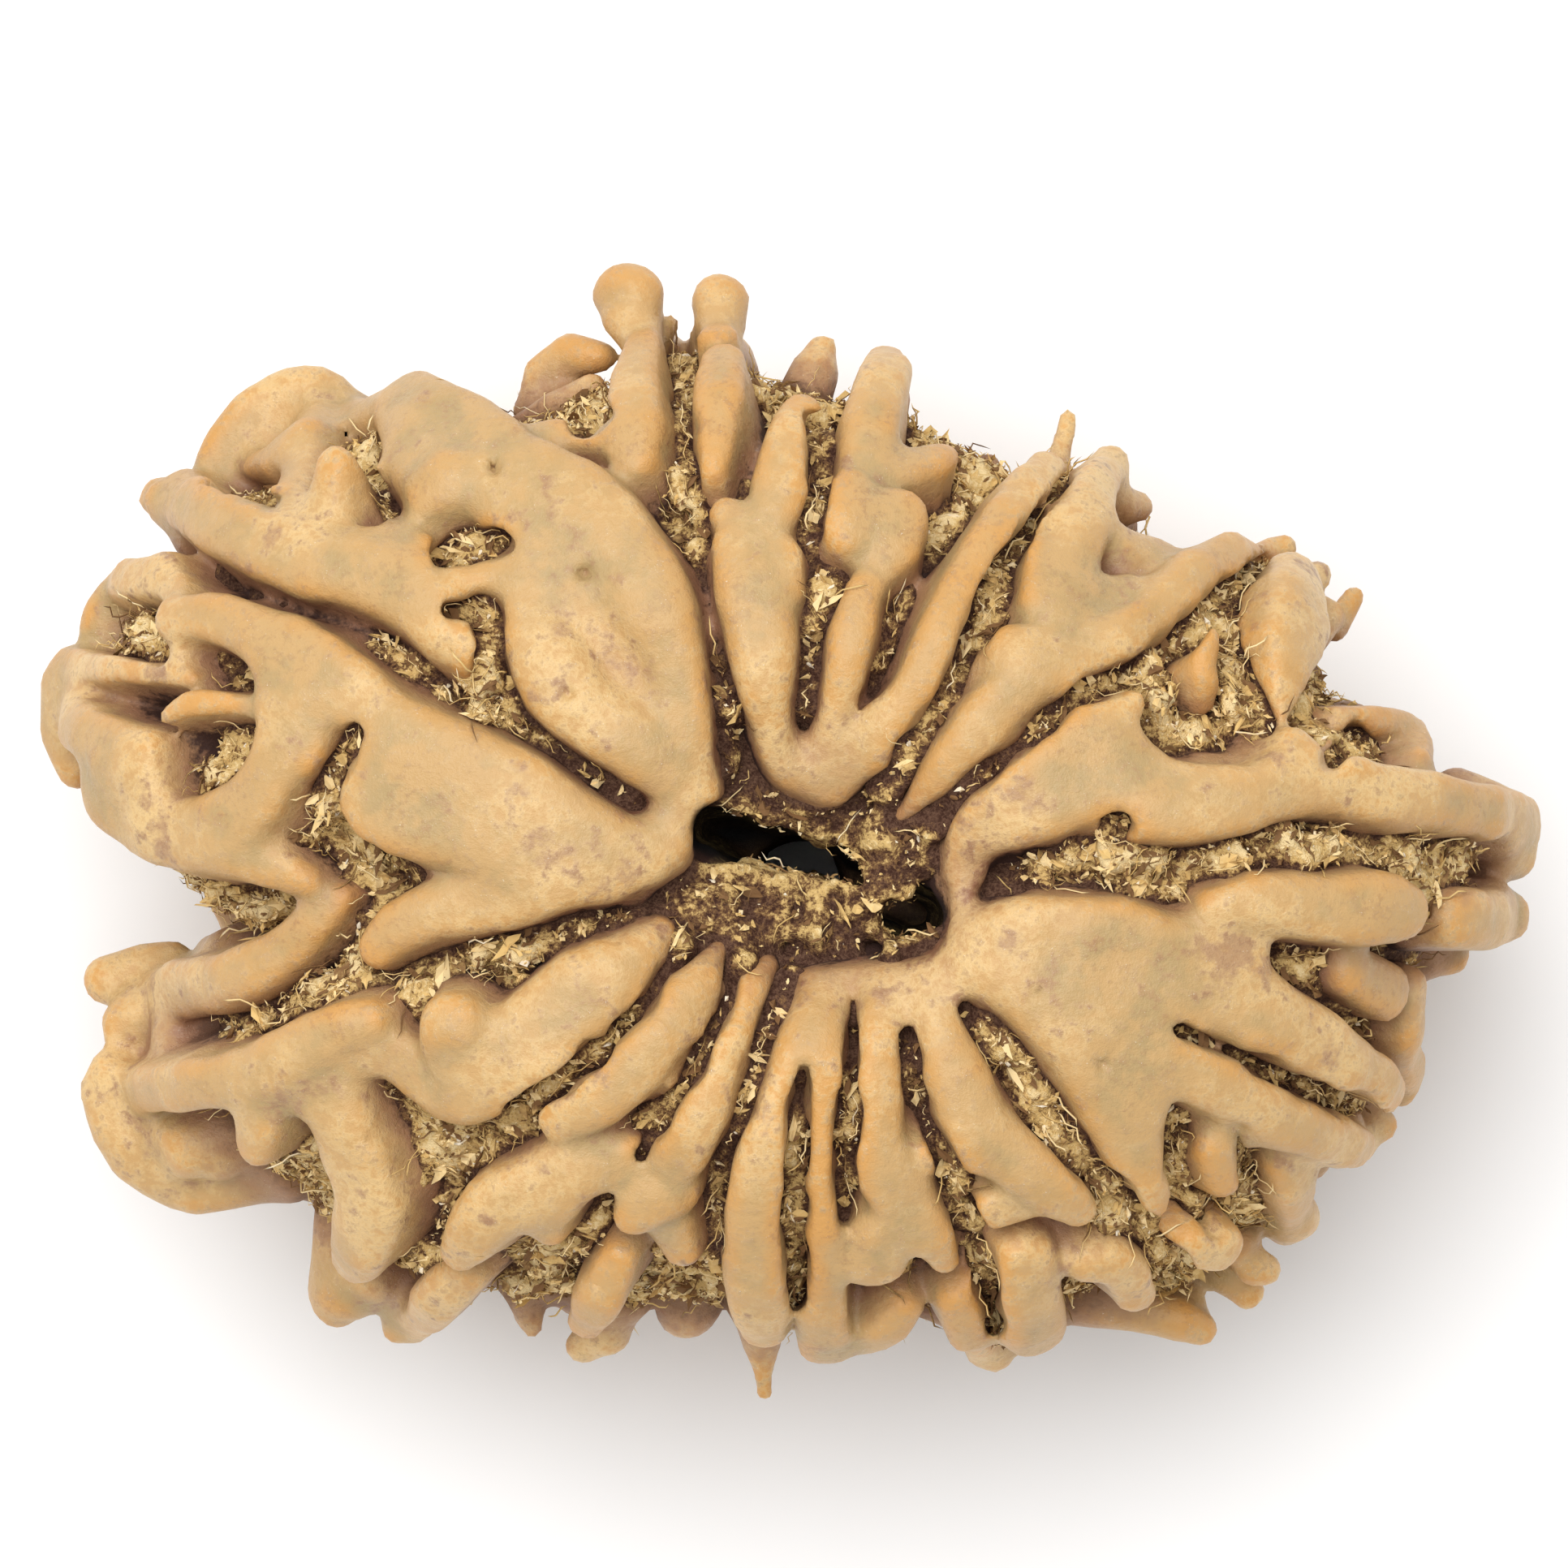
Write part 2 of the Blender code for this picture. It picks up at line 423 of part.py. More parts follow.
class Lattice:
    """Evenly spaced places in a box, in steps from the core's middle."""

    def __init__(self, low, high, spacing):
        self.low, self.spacing = np.array(low, float), float(spacing)
        counts = np.ceil((np.array(high, float) - self.low) / spacing).astype(int) + 1
        self.axes = [self.low[i] + spacing * np.arange(counts[i]) for i in range(3)]
        self.shape = tuple(counts)

    def whole(self):
        return np.meshgrid(*self.axes, indexing="ij", sparse=True)

    def window(self, low, high):
        """The lattice's index ranges that cover a box, and its places there."""
        first = np.clip(np.floor((low - self.low) / self.spacing).astype(int), 0, self.shape)
        last = np.clip(np.ceil((high - self.low) / self.spacing).astype(int) + 1, 0, self.shape)
        cut = tuple(slice(a, b) for a, b in zip(first, last))
        return cut, np.meshgrid(*(axis[c] for axis, c in zip(self.axes, cut)), indexing="ij")


def core_distance(lattice):
    """The core: a superellipsoid whose reach follows the angle, dipped at both ends."""
    x, y, z = lattice.whole()
    flat, angle = np.hypot(x, y), np.arctan2(y, x)
    z = z + np.tanh(z / 60) * dimple(x, y)
    size = (flat / reach_of_core(angle)) ** CORE_POWER
    size = (size + (np.abs(z) / CORE_HALF_HEIGHT) ** CORE_POWER) ** (1 / CORE_POWER)
    slopes = np.gradient(size, lattice.spacing)
    return (size - 1) / np.maximum(np.sqrt(sum(slope**2 for slope in slopes)), 1e-3)


def rib_distance(places, start, end):
    """Distance to one stretch of a rib: across it a cubic superellipse above the middle of
    its top, and below that a wall that leans outwards."""
    line = [e - s for s, e in zip(start[0], end[0])]
    square = max(sum(part**2 for part in line), 1e-6)
    offset = [place - s for place, s in zip(places, start[0])]
    share = np.clip(sum(o * part for o, part in zip(offset, line)) / square, 0, 1)
    offset = [o - share * part for o, part in zip(offset, line)]
    normal = [a + share * (b - a) for a, b in zip(start[1], end[1])]
    length = np.sqrt(sum(part**2 for part in normal))
    over = sum(o * part for o, part in zip(offset, normal)) / length
    across = np.sqrt(np.maximum(sum(o**2 for o in offset) - over**2, 0))
    width, thick, deep = (a + share * (b - a) for a, b in zip(start[2:], end[2:]))
    rise = np.maximum(over, 0) * width / thick
    sink = np.maximum(-over, 0)
    distance = np.cbrt(across**3 + rise**3) - width - WALL_LEAN * sink
    return np.maximum(distance, sink - deep)


def tooth_distance(places, start, end):
    """Distance to one stretch of a tooth, a cone with round ends."""
    line = [e - s for s, e in zip(start[0], end[0])]
    square = max(sum(part**2 for part in line), 1e-6)
    offset = [place - s for place, s in zip(places, start[0])]
    share = np.clip(sum(o * part for o, part in zip(offset, line)) / square, 0, 1)
    apart = np.sqrt(sum((o - share * part) ** 2 for o, part in zip(offset, line)))
    return apart - start[1] - share * (end[1] - start[1])


def blended(lattice, strokes, distance, reach):
    """The soft union of strokes: exp(-distance / RIB_BLEND), summed over the strokes."""
    total = np.zeros(lattice.shape, np.float32)
    for stroke in strokes:
        places = np.array([knot[0] for knot in stroke])
        margin = max(reach(knot) for knot in stroke) + 9 * RIB_BLEND
        whole, _ = lattice.window(places.min(0) - margin, places.max(0) + margin)
        nearest = np.zeros([cut.stop - cut.start for cut in whole], np.float32)
        for start, end in zip(stroke, stroke[1:] or stroke):
            margin = max(reach(start), reach(end)) + 9 * RIB_BLEND
            low, high = np.minimum(start[0], end[0]), np.maximum(start[0], end[0])
            part, grid = lattice.window(low - margin, high + margin)
            part = tuple(slice(a.start - b.start, a.stop - b.start) for a, b in zip(part, whole))
            near = np.exp(-np.clip(distance(grid, start, end) / RIB_BLEND, -30, 30))
            nearest[part] = np.maximum(nearest[part], near)
        total[whole] += nearest
    return total


def hole_distance(lattice):
    """The thread hole: a slit that narrows as it goes down, then a round bore that widens
    again at the lower mouth."""
    x, y, z = lattice.whole()
    slit = np.full(lattice.shape, 1e3, np.float32)
    for start, end in zip(MOUTH, MOUTH[1:]):
        ax, ay = start[0] - AXIS_ACROSS, AXIS_DOWN - start[1]
        bx, by = end[0] - start[0], start[1] - end[1]
        share = np.clip(((x - ax) * bx + (y - ay) * by) / (bx**2 + by**2), 0, 1)
        apart = np.hypot(x - ax - share * bx, y - ay - share * by)
        slit = np.minimum(slit, apart - start[2] - share * (end[2] - start[2]))
    slit = np.maximum(slit + 0.12 * np.maximum(300 - z, 0), MOUTH_FLOOR - z)
    across, down = HOLE_PLACE
    flare = (LOWER_MOUTH_RADIUS - HOLE_RADIUS) * np.clip((-z - 250) / 170, 0, 1)
    bore = np.hypot(x - across + AXIS_ACROSS, y - AXIS_DOWN + down) - HOLE_RADIUS - flare
    return joined(slit, bore, HOLE_BLEND)


def joined(a, b, blend):
    """The smooth union of two distances."""
    share = np.clip(0.5 + 0.5 * (b - a) / blend, 0, 1)
    return b + (a - b) * share - blend * share * (1 - share)


def bead_distance(lattice):
    """The whole bead's distance: ribs, keels and teeth on the core, less the thread hole."""
    teeth = [
        [(np.array([across - AXIS_ACROSS, AXIS_DOWN - down, level], float), radius)
         for across, down, level, radius in tooth]
        for tooth in TEETH
    ]
    total = blended(lattice, drawn_ribs() + keels(), rib_distance, lambda knot: knot[2] + knot[4])
    total += blended(lattice, teeth, tooth_distance, lambda knot: knot[1])
    ribs = -RIB_BLEND * np.log(np.maximum(total, 1e-9))
    bead = joined(ribs, core_distance(lattice), ROOT_BLEND)
    return -joined(-bead, hole_distance(lattice), HOLE_BLEND)


def flooded(start, allowed):
    """Spreads from the start through the allowed places until it no longer grows."""
    reached, before = start & allowed, -1
    while reached.sum() != before:
        before = reached.sum()
        for axis in range(3):
            sheets, gates = np.moveaxis(reached, axis, 0), np.moveaxis(allowed, axis, 0)
            for i in range(1, len(sheets)):
                sheets[i] |= sheets[i - 1] & gates[i]
            for i in range(len(sheets) - 2, -1, -1):
                sheets[i] |= sheets[i + 1] & gates[i]
    return reached


def one_body(inside):
    """Fills sealed hollows and drops loose scraps."""
    corner, core = np.zeros_like(inside), np.zeros_like(inside)
    corner[0, 0, 0] = True
    inside = ~flooded(corner, ~inside)
    core[inside.shape[0] // 4, inside.shape[1] // 2, inside.shape[2] // 2] = True
    return flooded(core, inside)


def without_pinches(inside):
    """Fills lattice places until no two solid ones touch only across a square or a cube, and
    no two empty ones either, so that the skin is a clean sheet."""
    inside = inside.copy()
    found = True
    while found:
        found = False
        for pair in ((0, 1), (0, 2), (1, 2)):
            view = np.moveaxis(inside, pair, (0, 1))
            a, b, c, d = view[:-1, :-1], view[1:, 1:], view[1:, :-1], view[:-1, 1:]
            rising, falling = a & b & ~c & ~d, c & d & ~a & ~b
            found = found or bool(rising.any() or falling.any())
            c |= rising
            a |= falling
        for turn_y, turn_z in ((1, 1), (1, -1), (-1, 1), (-1, -1)):
            view = inside[:, ::turn_y, ::turn_z]
            ends = (slice(None, -1), slice(1, None))
            corners = [view[i, j, k] for i in ends for j in ends for k in ends]
            count = sum(corner.astype(np.int8) for corner in corners)
            lone = corners[0] & corners[7] & (count == 2)
            hollow = ~corners[0] & ~corners[7] & (count == 6)
            found = found or bool(lone.any() or hollow.any())
            corners[1][lone] = True
            corners[0][hollow] = True
    return inside


def skin(lattice, distance):
    """The surface of zero distance: one point in each cube that it crosses, at the mean of
    its crossings with the cube's edges, and a four-sided face round each crossed edge."""
    inside = one_body(without_pinches(distance < 0))
    distance = np.where(inside, np.minimum(distance, -0.5), np.maximum(distance, 0.5))
    cubes = tuple(count - 1 for count in distance.shape)
    total, count, crossings = np.zeros(cubes + (3,)), np.zeros(cubes), []
    for axis in range(3):
        first, second = [other for other in range(3) if other != axis]
        start = np.moveaxis(np.moveaxis(distance, axis, 0)[:-1], 0, axis)
        end = np.moveaxis(np.moveaxis(distance, axis, 0)[1:], 0, axis)
        crossed = (start < 0) != (end < 0)
        share = np.where(crossed, start / np.where(crossed, start - end, 1), 0)
        crossings.append((axis, crossed, start < 0))
        for i in (0, 1):
            for j in (0, 1):
                cut = [slice(None)] * 3
                cut[first] = slice(i, i + cubes[first])
                cut[second] = slice(j, j + cubes[second])
                hit = crossed[tuple(cut)]
                count += hit
                total[..., axis] += share[tuple(cut)]
                total[..., first] += hit * i
                total[..., second] += hit * j
    used = count > 0
    number = np.full(cubes, -1)
    number[used] = np.arange(used.sum())
    corners = np.stack(np.nonzero(used), 1)
    points = lattice.low + (corners + total[used] / count[used][:, None]) * lattice.spacing
    faces = []
    for axis, crossed, solid_first in crossings:
        place = np.moveaxis(number, axis, 0)
        edges = np.moveaxis(crossed, axis, 0)[:, 1:-1, 1:-1]
        a, b, c = np.nonzero(edges)
        face = np.stack(
            [place[a, b, c], place[a, b + 1, c], place[a, b + 1, c + 1], place[a, b, c + 1]], 1
        )
        solid = np.moveaxis(solid_first, axis, 0)[:, 1:-1, 1:-1][a, b, c]
        turned = solid == (axis == 1)
        face[turned] = face[turned][:, ::-1]
        faces.append(face)
    return points, np.concatenate(faces)


def thinned(bead, triangles):
    """Applies a Decimate modifier that leaves about this many triangles."""
    bead.data.calc_loop_triangles()
    modifier = bead.modifiers.new("thin", "DECIMATE")
    modifier.ratio = triangles / len(bead.data.loop_triangles)
    modifier.use_collapse_triangulate = True
    evaluated = bead.evaluated_get(bpy.context.evaluated_depsgraph_get())
    mesh = bpy.data.meshes.new_from_object(evaluated)
    bead.modifiers.clear()
    bead.data = mesh


def worn_flat(bead, level):
    """Cuts off what lies below a level and closes the cut with flat facets."""
    mesh = bmesh.new()
    mesh.from_mesh(bead.data)
    everything = mesh.verts[:] + mesh.edges[:] + mesh.faces[:]
    cut = bmesh.ops.bisect_plane(
        mesh, geom=everything, plane_co=(0, 0, level), plane_no=(0, 0, -1), clear_outer=True
    )
    edges = [part for part in cut["geom_cut"] if isinstance(part, bmesh.types.BMEdge)]
    bmesh.ops.triangle_fill(mesh, edges=edges, use_beauty=True, normal=(0, 0, -1))
    bmesh.ops.triangulate(mesh, faces=[face for face in mesh.faces if len(face.verts) > 3])
    mesh.to_mesh(bead.data)
    mesh.free()


def endocarp_material():
    """Dry waxy wood of a ripe stone, a warm tan."""
    material = bpy.data.materials.new("endocarp")
    material.use_nodes = True
    shader = material.node_tree.nodes["Principled BSDF"]
    shader.inputs["Base Color"].default_value = TAN
    shader.inputs["Roughness"].default_value = ROUGHNESS
    shader.inputs["Metallic"].default_value = 0.0
    return material


def make_bead():
    lattice = Lattice((-990, -740, -620), (980, 790, 640), LATTICE)
    points, faces = skin(lattice, bead_distance(lattice))
    mesh = bpy.data.meshes.new("bead")
    mesh.from_pydata((points * STEP).tolist(), [], faces.tolist())
    bead = bpy.data.objects.new("bead", mesh)
    bpy.context.scene.collection.objects.link(bead)
    thinned(bead, TRIANGLES)
    worn_flat(bead, SEAT_LEVEL * STEP)
    corners = np.array([vertex.co for vertex in bead.data.vertices])
    low, high = corners.min(0), corners.max(0)
    shift = ((low + high) / 2 * (1, 1, 0) + low * (0, 0, 1)).tolist()
    for vertex in bead.data.vertices:
        vertex.co = [part - move for part, move in zip(vertex.co, shift)]
    bead.data.materials.append(endocarp_material())
    return bead


def main():
    for thing in list(bpy.data.objects):
        bpy.data.objects.remove(thing)
    make_bead()


main()
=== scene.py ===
"""The looks of a rudraksha bead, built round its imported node: the finely shaped stone, the
dried pulp in its furrows, the floor, the light and the camera."""

import bpy
import numpy as np
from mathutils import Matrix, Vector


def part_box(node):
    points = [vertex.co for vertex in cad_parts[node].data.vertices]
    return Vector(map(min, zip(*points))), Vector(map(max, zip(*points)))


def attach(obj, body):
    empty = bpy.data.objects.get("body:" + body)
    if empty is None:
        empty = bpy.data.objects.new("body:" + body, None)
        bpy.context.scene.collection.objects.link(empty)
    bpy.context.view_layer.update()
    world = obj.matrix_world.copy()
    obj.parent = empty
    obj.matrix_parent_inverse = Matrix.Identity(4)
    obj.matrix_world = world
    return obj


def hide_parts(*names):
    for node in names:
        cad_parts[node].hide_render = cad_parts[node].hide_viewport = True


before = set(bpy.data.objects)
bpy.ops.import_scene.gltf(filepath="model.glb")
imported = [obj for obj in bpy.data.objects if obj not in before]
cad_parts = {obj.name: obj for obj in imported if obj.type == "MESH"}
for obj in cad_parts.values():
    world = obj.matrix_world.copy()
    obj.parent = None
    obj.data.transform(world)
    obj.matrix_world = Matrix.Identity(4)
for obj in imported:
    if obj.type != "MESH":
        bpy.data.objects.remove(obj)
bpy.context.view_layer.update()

# The stone. The real one is a single woody fruit stone, dry and faintly waxy. It is made here
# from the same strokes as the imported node: places along each rib's crest, each (across, down,
# half width, height), in steps, 1858 of them to the bead's length.
BEAD_LENGTH = 0.0340
STEPS_LONG = 1858
STEP = BEAD_LENGTH / STEPS_LONG

# The core, in steps: its axis, its reach at every 10 degrees from +X towards +Y, its half
# height, the power of its superellipse, and the dimple round each mouth.
AXIS_ACROSS, AXIS_DOWN = 985, 1045
CORE_REACH = [
    800, 700, 640, 600, 545, 515, 500, 495, 520, 540, 560, 560, 590, 635, 700, 760, 800, 815,
    745, 655, 755, 735, 690, 665, 605, 565, 545, 555, 560, 575, 620, 645, 660, 690, 715, 745,
]
CORE_HALF_HEIGHT = 470
CORE_POWER = 2.4
DIMPLE_DEPTH, DIMPLE_SPREAD = 90, 200

# A rib's rounded top is this thick at most. Below it the walls drop to the core, and they
# lean outwards by this share of their height.
TOP_THICKNESS = 36
WALL_LEAN = 0.12
RIB_BLEND = 9
ROOT_BLEND = 16

# The slit mouth (across, down, half width) and the round hole that goes on from it.
MOUTH = [(880, 1020, 30), (945, 1040, 40), (1010, 1075, 48), (1075, 1105, 44), (1130, 1128, 34)]
MOUTH_FLOOR = 80
SLIT_NARROWING, SLIT_LEVEL = 0.12, 300
HOLE_PLACE = (985, 1085)
HOLE_RADIUS = 55
LOWER_MOUTH_RADIUS = 95
HOLE_BLEND = 18

# The lobe left of the mouth and the ribs that climb from it to the upper left rim.
UPPER_LEFT = [
    [(858, 965, 24, 88), (850, 900, 30, 104), (838, 840, 36, 112), (815, 770, 40, 118),
     (785, 700, 44, 122), (745, 650, 44, 122), (700, 612, 46, 120), (640, 585, 42, 116),
     (580, 545, 48, 112), (520, 512, 40, 104)],
    [(810, 880, 40, 92), (770, 810, 60, 90), (720, 740, 62, 96), (680, 680, 55, 104),
     (640, 630, 45, 108)],
    [(668, 800, 40, 106), (690, 840, 48, 112), (740, 885, 44, 112), (790, 925, 40, 108),
     (835, 965, 34, 94)],
    [(700, 725, 30, 100), (640, 715, 22, 98), (580, 713, 18, 98), (520, 715, 24, 100)],
    [(620, 610, 34, 108), (570, 608, 34, 114), (535, 625, 24, 108), (505, 645, 18, 92)],
    [(650, 660, 24, 102), (660, 700, 26, 100), (655, 750, 24, 104)],
    [(520, 512, 40, 104), (528, 560, 42, 106), (545, 605, 36, 112)],
    [(515, 505, 38, 100), (455, 522, 22, 86), (412, 500, 34, 98), (378, 492, 32, 100),
     (335, 492, 26, 98), (302, 512, 24, 94), (280, 540, 22, 92), (272, 566, 18, 86)],
    [(272, 566, 18, 86), (310, 575, 14, 82), (350, 572, 20, 86), (385, 548, 26, 92),
     (398, 515, 26, 96)],
    [(385, 560, 24, 84), (378, 600, 20, 78), (368, 640, 24, 88)],
    [(420, 645, 36, 96), (420, 612, 26, 122), (420, 578, 17, 146)],
    [(196, 612, 20, 84), (228, 622, 32, 98), (270, 640, 42, 106), (320, 665, 44, 108),
     (370, 692, 40, 108), (420, 705, 40, 110), (470, 718, 44, 110), (520, 745, 44, 110),
     (555, 780, 36, 110), (580, 808, 26, 104)],
    [(350, 640, 22, 90), (400, 668, 18, 94), (450, 674, 16, 98), (510, 678, 20, 98),
     (560, 705, 18, 98)],
]

# The lobe below it, whose blunt cheek with its pits is the bead's left end.
LEFT = [
    [(215, 712, 22, 84), (180, 715, 26, 92), (150, 728, 26, 94), (125, 755, 26, 92),
     (118, 785, 18, 84)],
    [(215, 712, 22, 84), (235, 740, 16, 86)],
    [(228, 768, 24, 98), (265, 764, 28, 104), (305, 778, 32, 106), (350, 800, 38, 108),
     (400, 822, 42, 110), (445, 862, 44, 110), (500, 905, 46, 112), (560, 935, 48, 112),
     (620, 965, 46, 112), (680, 1000, 44, 110), (740, 1030, 40, 106), (790, 1042, 38, 98),
     (832, 1012, 30, 90), (852, 975, 26, 86)],
    [(345, 830, 26, 104), (352, 880, 30, 106), (350, 930, 36, 106), (330, 980, 44, 106),
     (290, 1015, 48, 104), (240, 1030, 46, 100), (190, 1010, 44, 96), (150, 970, 42, 92)],
    [(395, 880, 34, 106), (385, 930, 28, 104)],
    [(88, 822, 22, 86), (140, 826, 18, 88), (190, 832, 16, 86), (240, 838, 14, 82)],
    [(222, 790, 18, 90), (226, 818, 14, 84)],
    [(212, 880, 12, 96), (240, 868, 18, 102), (280, 866, 18, 98), (318, 872, 12, 92)],
    [(95, 850, 26, 82), (108, 890, 30, 86), (150, 915, 32, 92), (188, 925, 26, 94)],
    [(150, 970, 42, 92), (180, 950, 36, 94), (200, 990, 40, 96)],
    [(300, 1040, 38, 100), (345, 1062, 30, 96), (385, 1080, 18, 86)],
    [(450, 965, 32, 102), (475, 1000, 42, 108), (540, 1010, 58, 112), (620, 1030, 58, 112),
     (700, 1055, 48, 108), (770, 1062, 38, 98), (815, 1045, 30, 90)],
    [(465, 940, 30, 104), (500, 950, 40, 108)],
    [(472, 1165, 24, 98), (500, 1140, 34, 106), (550, 1120, 40, 108), (620, 1100, 44, 108),
     (690, 1082, 38, 104), (750, 1075, 32, 98)],
]

# The fork and the lobe on both sides of the long dark furrow at the lower left.
LOWER_LEFT = [
    [(428, 1103, 16, 76), (395, 1142, 26, 92), (350, 1178, 30, 98), (300, 1203, 34, 100),
     (240, 1217, 38, 98), (185, 1243, 34, 92), (152, 1262, 24, 82)],
    [(122, 1337, 16, 70), (152, 1345, 24, 84), (200, 1338, 28, 98), (250, 1331, 26, 102),
     (300, 1325, 26, 102), (345, 1311, 28, 102), (385, 1282, 28, 104), (425, 1258, 24, 104),
     (458, 1250, 18, 98)],
    [(150, 1375, 36, 84), (190, 1400, 44, 88), (235, 1408, 40, 86)],
    [(200, 1428, 36, 76)],
    [(332, 1340, 26, 94), (331, 1378, 24, 104), (324, 1403, 18, 104)],
    [(440, 1290, 34, 84), (490, 1290, 28, 78), (530, 1318, 28, 84), (560, 1335, 30, 92)],
    [(400, 1335, 26, 84), (430, 1350, 28, 86)],
    [(425, 1360, 24, 88), (450, 1415, 38, 96), (468, 1470, 40, 100), (458, 1515, 36, 100),
     (440, 1542, 24, 90)],
    [(812, 1150, 20, 78), (772, 1182, 38, 96), (722, 1217, 52, 108), (672, 1265, 54, 112),
     (622, 1312, 48, 112), (592, 1335, 32, 104)],
    [(565, 1285, 28, 100), (565, 1252, 34, 124)],
]

# The slender ribs below the mouth, fanning down to the lower rim.
BOTTOM = [
    [(885, 1168, 9, 58), (860, 1207, 17, 84), (825, 1250, 27, 100), (785, 1300, 35, 108),
     (740, 1340, 36, 108), (697, 1370, 26, 100)],
    [(945, 1187, 9, 60), (922, 1222, 14, 82), (898, 1275, 20, 96), (875, 1330, 28, 104),
     (850, 1378, 32, 106), (842, 1408, 26, 98)],
    [(838, 1458, 18, 86), (803, 1470, 24, 98), (782, 1490, 20, 100)],
    [(770, 1420, 24, 82), (720, 1430, 34, 90), (670, 1450, 38, 94), (620, 1480, 34, 98),
     (590, 1513, 28, 100), (573, 1533, 19, 94)],
    [(682, 1470, 28, 92), (682, 1506, 15, 92)],
    [(765, 1542, 17, 86), (746, 1580, 24, 94), (724, 1624, 17, 88)],
    [(830, 1500, 22, 76), (842, 1532, 14, 78)],
    [(577, 1560, 24, 76), (546, 1596, 27, 84), (514, 1636, 19, 80)],
    [(1012, 1235, 20, 70), (988, 1282, 22, 90), (970, 1330, 22, 100), (948, 1400, 26, 108),
     (933, 1465, 33, 112), (932, 1530, 34, 112), (935, 1588, 30, 106), (940, 1628, 19, 98)],
    [(1022, 1235, 16, 70), (1016, 1290, 14, 92), (1012, 1345, 12, 98), (1011, 1410, 13, 100),
     (1012, 1480, 14, 98), (1013, 1545, 18, 96), (1015, 1605, 23, 90), (1015, 1652, 21, 80)],
    [(1088, 1222, 18, 80), (1082, 1280, 22, 98), (1074, 1340, 30, 106), (1073, 1398, 34, 110),
     (1088, 1435, 34, 108), (1116, 1470, 27, 100), (1145, 1515, 21, 98), (1161, 1548, 13, 92)],
    [(1086, 1512, 32, 96), (1080, 1542, 33, 96)],
    [(1112, 1602, 15, 78), (1088, 1625, 21, 82), (1070, 1640, 16, 78)],
    [(1150, 1235, 22, 80), (1160, 1280, 25, 96), (1180, 1330, 33, 106), (1197, 1380, 38, 110),
     (1240, 1415, 33, 108), (1290, 1455, 27, 106), (1323, 1480, 17, 98)],
    [(1165, 1410, 24, 100), (1190, 1400, 30, 104)],
    [(1215, 1482, 20, 94), (1255, 1467, 19, 88)],
    [(1248, 1540, 36, 90), (1260, 1590, 42, 94), (1272, 1634, 30, 86)],
    [(1176, 1592, 18, 80), (1195, 1636, 19, 84), (1206, 1668, 13, 80)],
    [(1000, 1216, 20, 62), (1060, 1212, 26, 70), (1120, 1212, 30, 76), (1180, 1200, 34, 86)],
]

# The wide plate right of the mouth, which parts into long ribs.
LOWER_RIGHT = [
    [(1180, 1118, 24, 76), (1205, 1150, 34, 90), (1290, 1140, 42, 104), (1375, 1136, 34, 104),
     (1425, 1150, 22, 96)],
    [(1190, 1170, 30, 80), (1240, 1200, 40, 98), (1310, 1240, 52, 104), (1365, 1310, 56, 106),
     (1385, 1380, 42, 108), (1400, 1440, 35, 106), (1405, 1472, 23, 98)],
    [(1340, 1200, 50, 100), (1420, 1260, 44, 102), (1460, 1310, 32, 104), (1520, 1350, 30, 108),
     (1590, 1382, 27, 104), (1645, 1404, 23, 96), (1678, 1413, 16, 88)],
    [(1400, 1180, 50, 98), (1480, 1200, 50, 98), (1555, 1240, 46, 104), (1615, 1285, 40, 106),
     (1665, 1320, 30, 102), (1702, 1342, 20, 94)],
    [(1492, 1115, 22, 96), (1540, 1110, 36, 104), (1610, 1116, 44, 108), (1680, 1118, 46, 110),
     (1722, 1120, 36, 104)],
    [(1450, 1165, 36, 92), (1520, 1165, 38, 92)],
    [(1780, 1130, 36, 80), (1822, 1130, 38, 80), (1855, 1130, 26, 70)],
    [(1650, 1190, 32, 66), (1692, 1215, 32, 62)],
    [(1728, 1215, 22, 60), (1722, 1265, 24, 70), (1725, 1310, 24, 74), (1724, 1342, 20, 70)],
    [(1490, 1405, 22, 86), (1500, 1440, 20, 84)],
    [(1575, 1420, 26, 78), (1585, 1468, 27, 82), (1580, 1505, 22, 74)],
    [(1458, 1525, 24, 96), (1495, 1528, 21, 100)],
    [(1520, 1572, 27, 84), (1535, 1590, 21, 80)],
    [(1337, 1545, 22, 86), (1370, 1550, 24, 92), (1394, 1583, 21, 92), (1406, 1598, 13, 86)],
    [(1450, 1600, 28, 70), (1465, 1630, 26, 60)],
]

# The lobe at the right, whose long rib ends in the bead's right tip.
RIGHT = [
    [(1185, 1070, 30, 78), (1195, 1018, 34, 90), (1240, 975, 40, 102), (1300, 925, 44, 108),
     (1350, 893, 34, 106), (1387, 868, 20, 102)],
    [(1215, 1025, 32, 92), (1290, 1000, 42, 104), (1340, 985, 40, 104), (1400, 1000, 36, 106),
     (1465, 1002, 32, 106), (1530, 985, 38, 108), (1600, 965, 42, 110), (1680, 977, 38, 108),
     (1750, 987, 38, 102), (1820, 1002, 38, 90), (1868, 1010, 32, 74)],
    [(1370, 930, 42, 104), (1430, 965, 30, 100), (1500, 970, 22, 100)],
    [(1582, 932, 30, 104), (1600, 960, 40, 106)],
    [(1640, 888, 18, 78), (1700, 893, 22, 82), (1736, 908, 24, 78), (1742, 945, 26, 86)],
    [(1647, 928, 15, 90)],
    [(1480, 948, 16, 58), (1520, 945, 14, 56)],
]

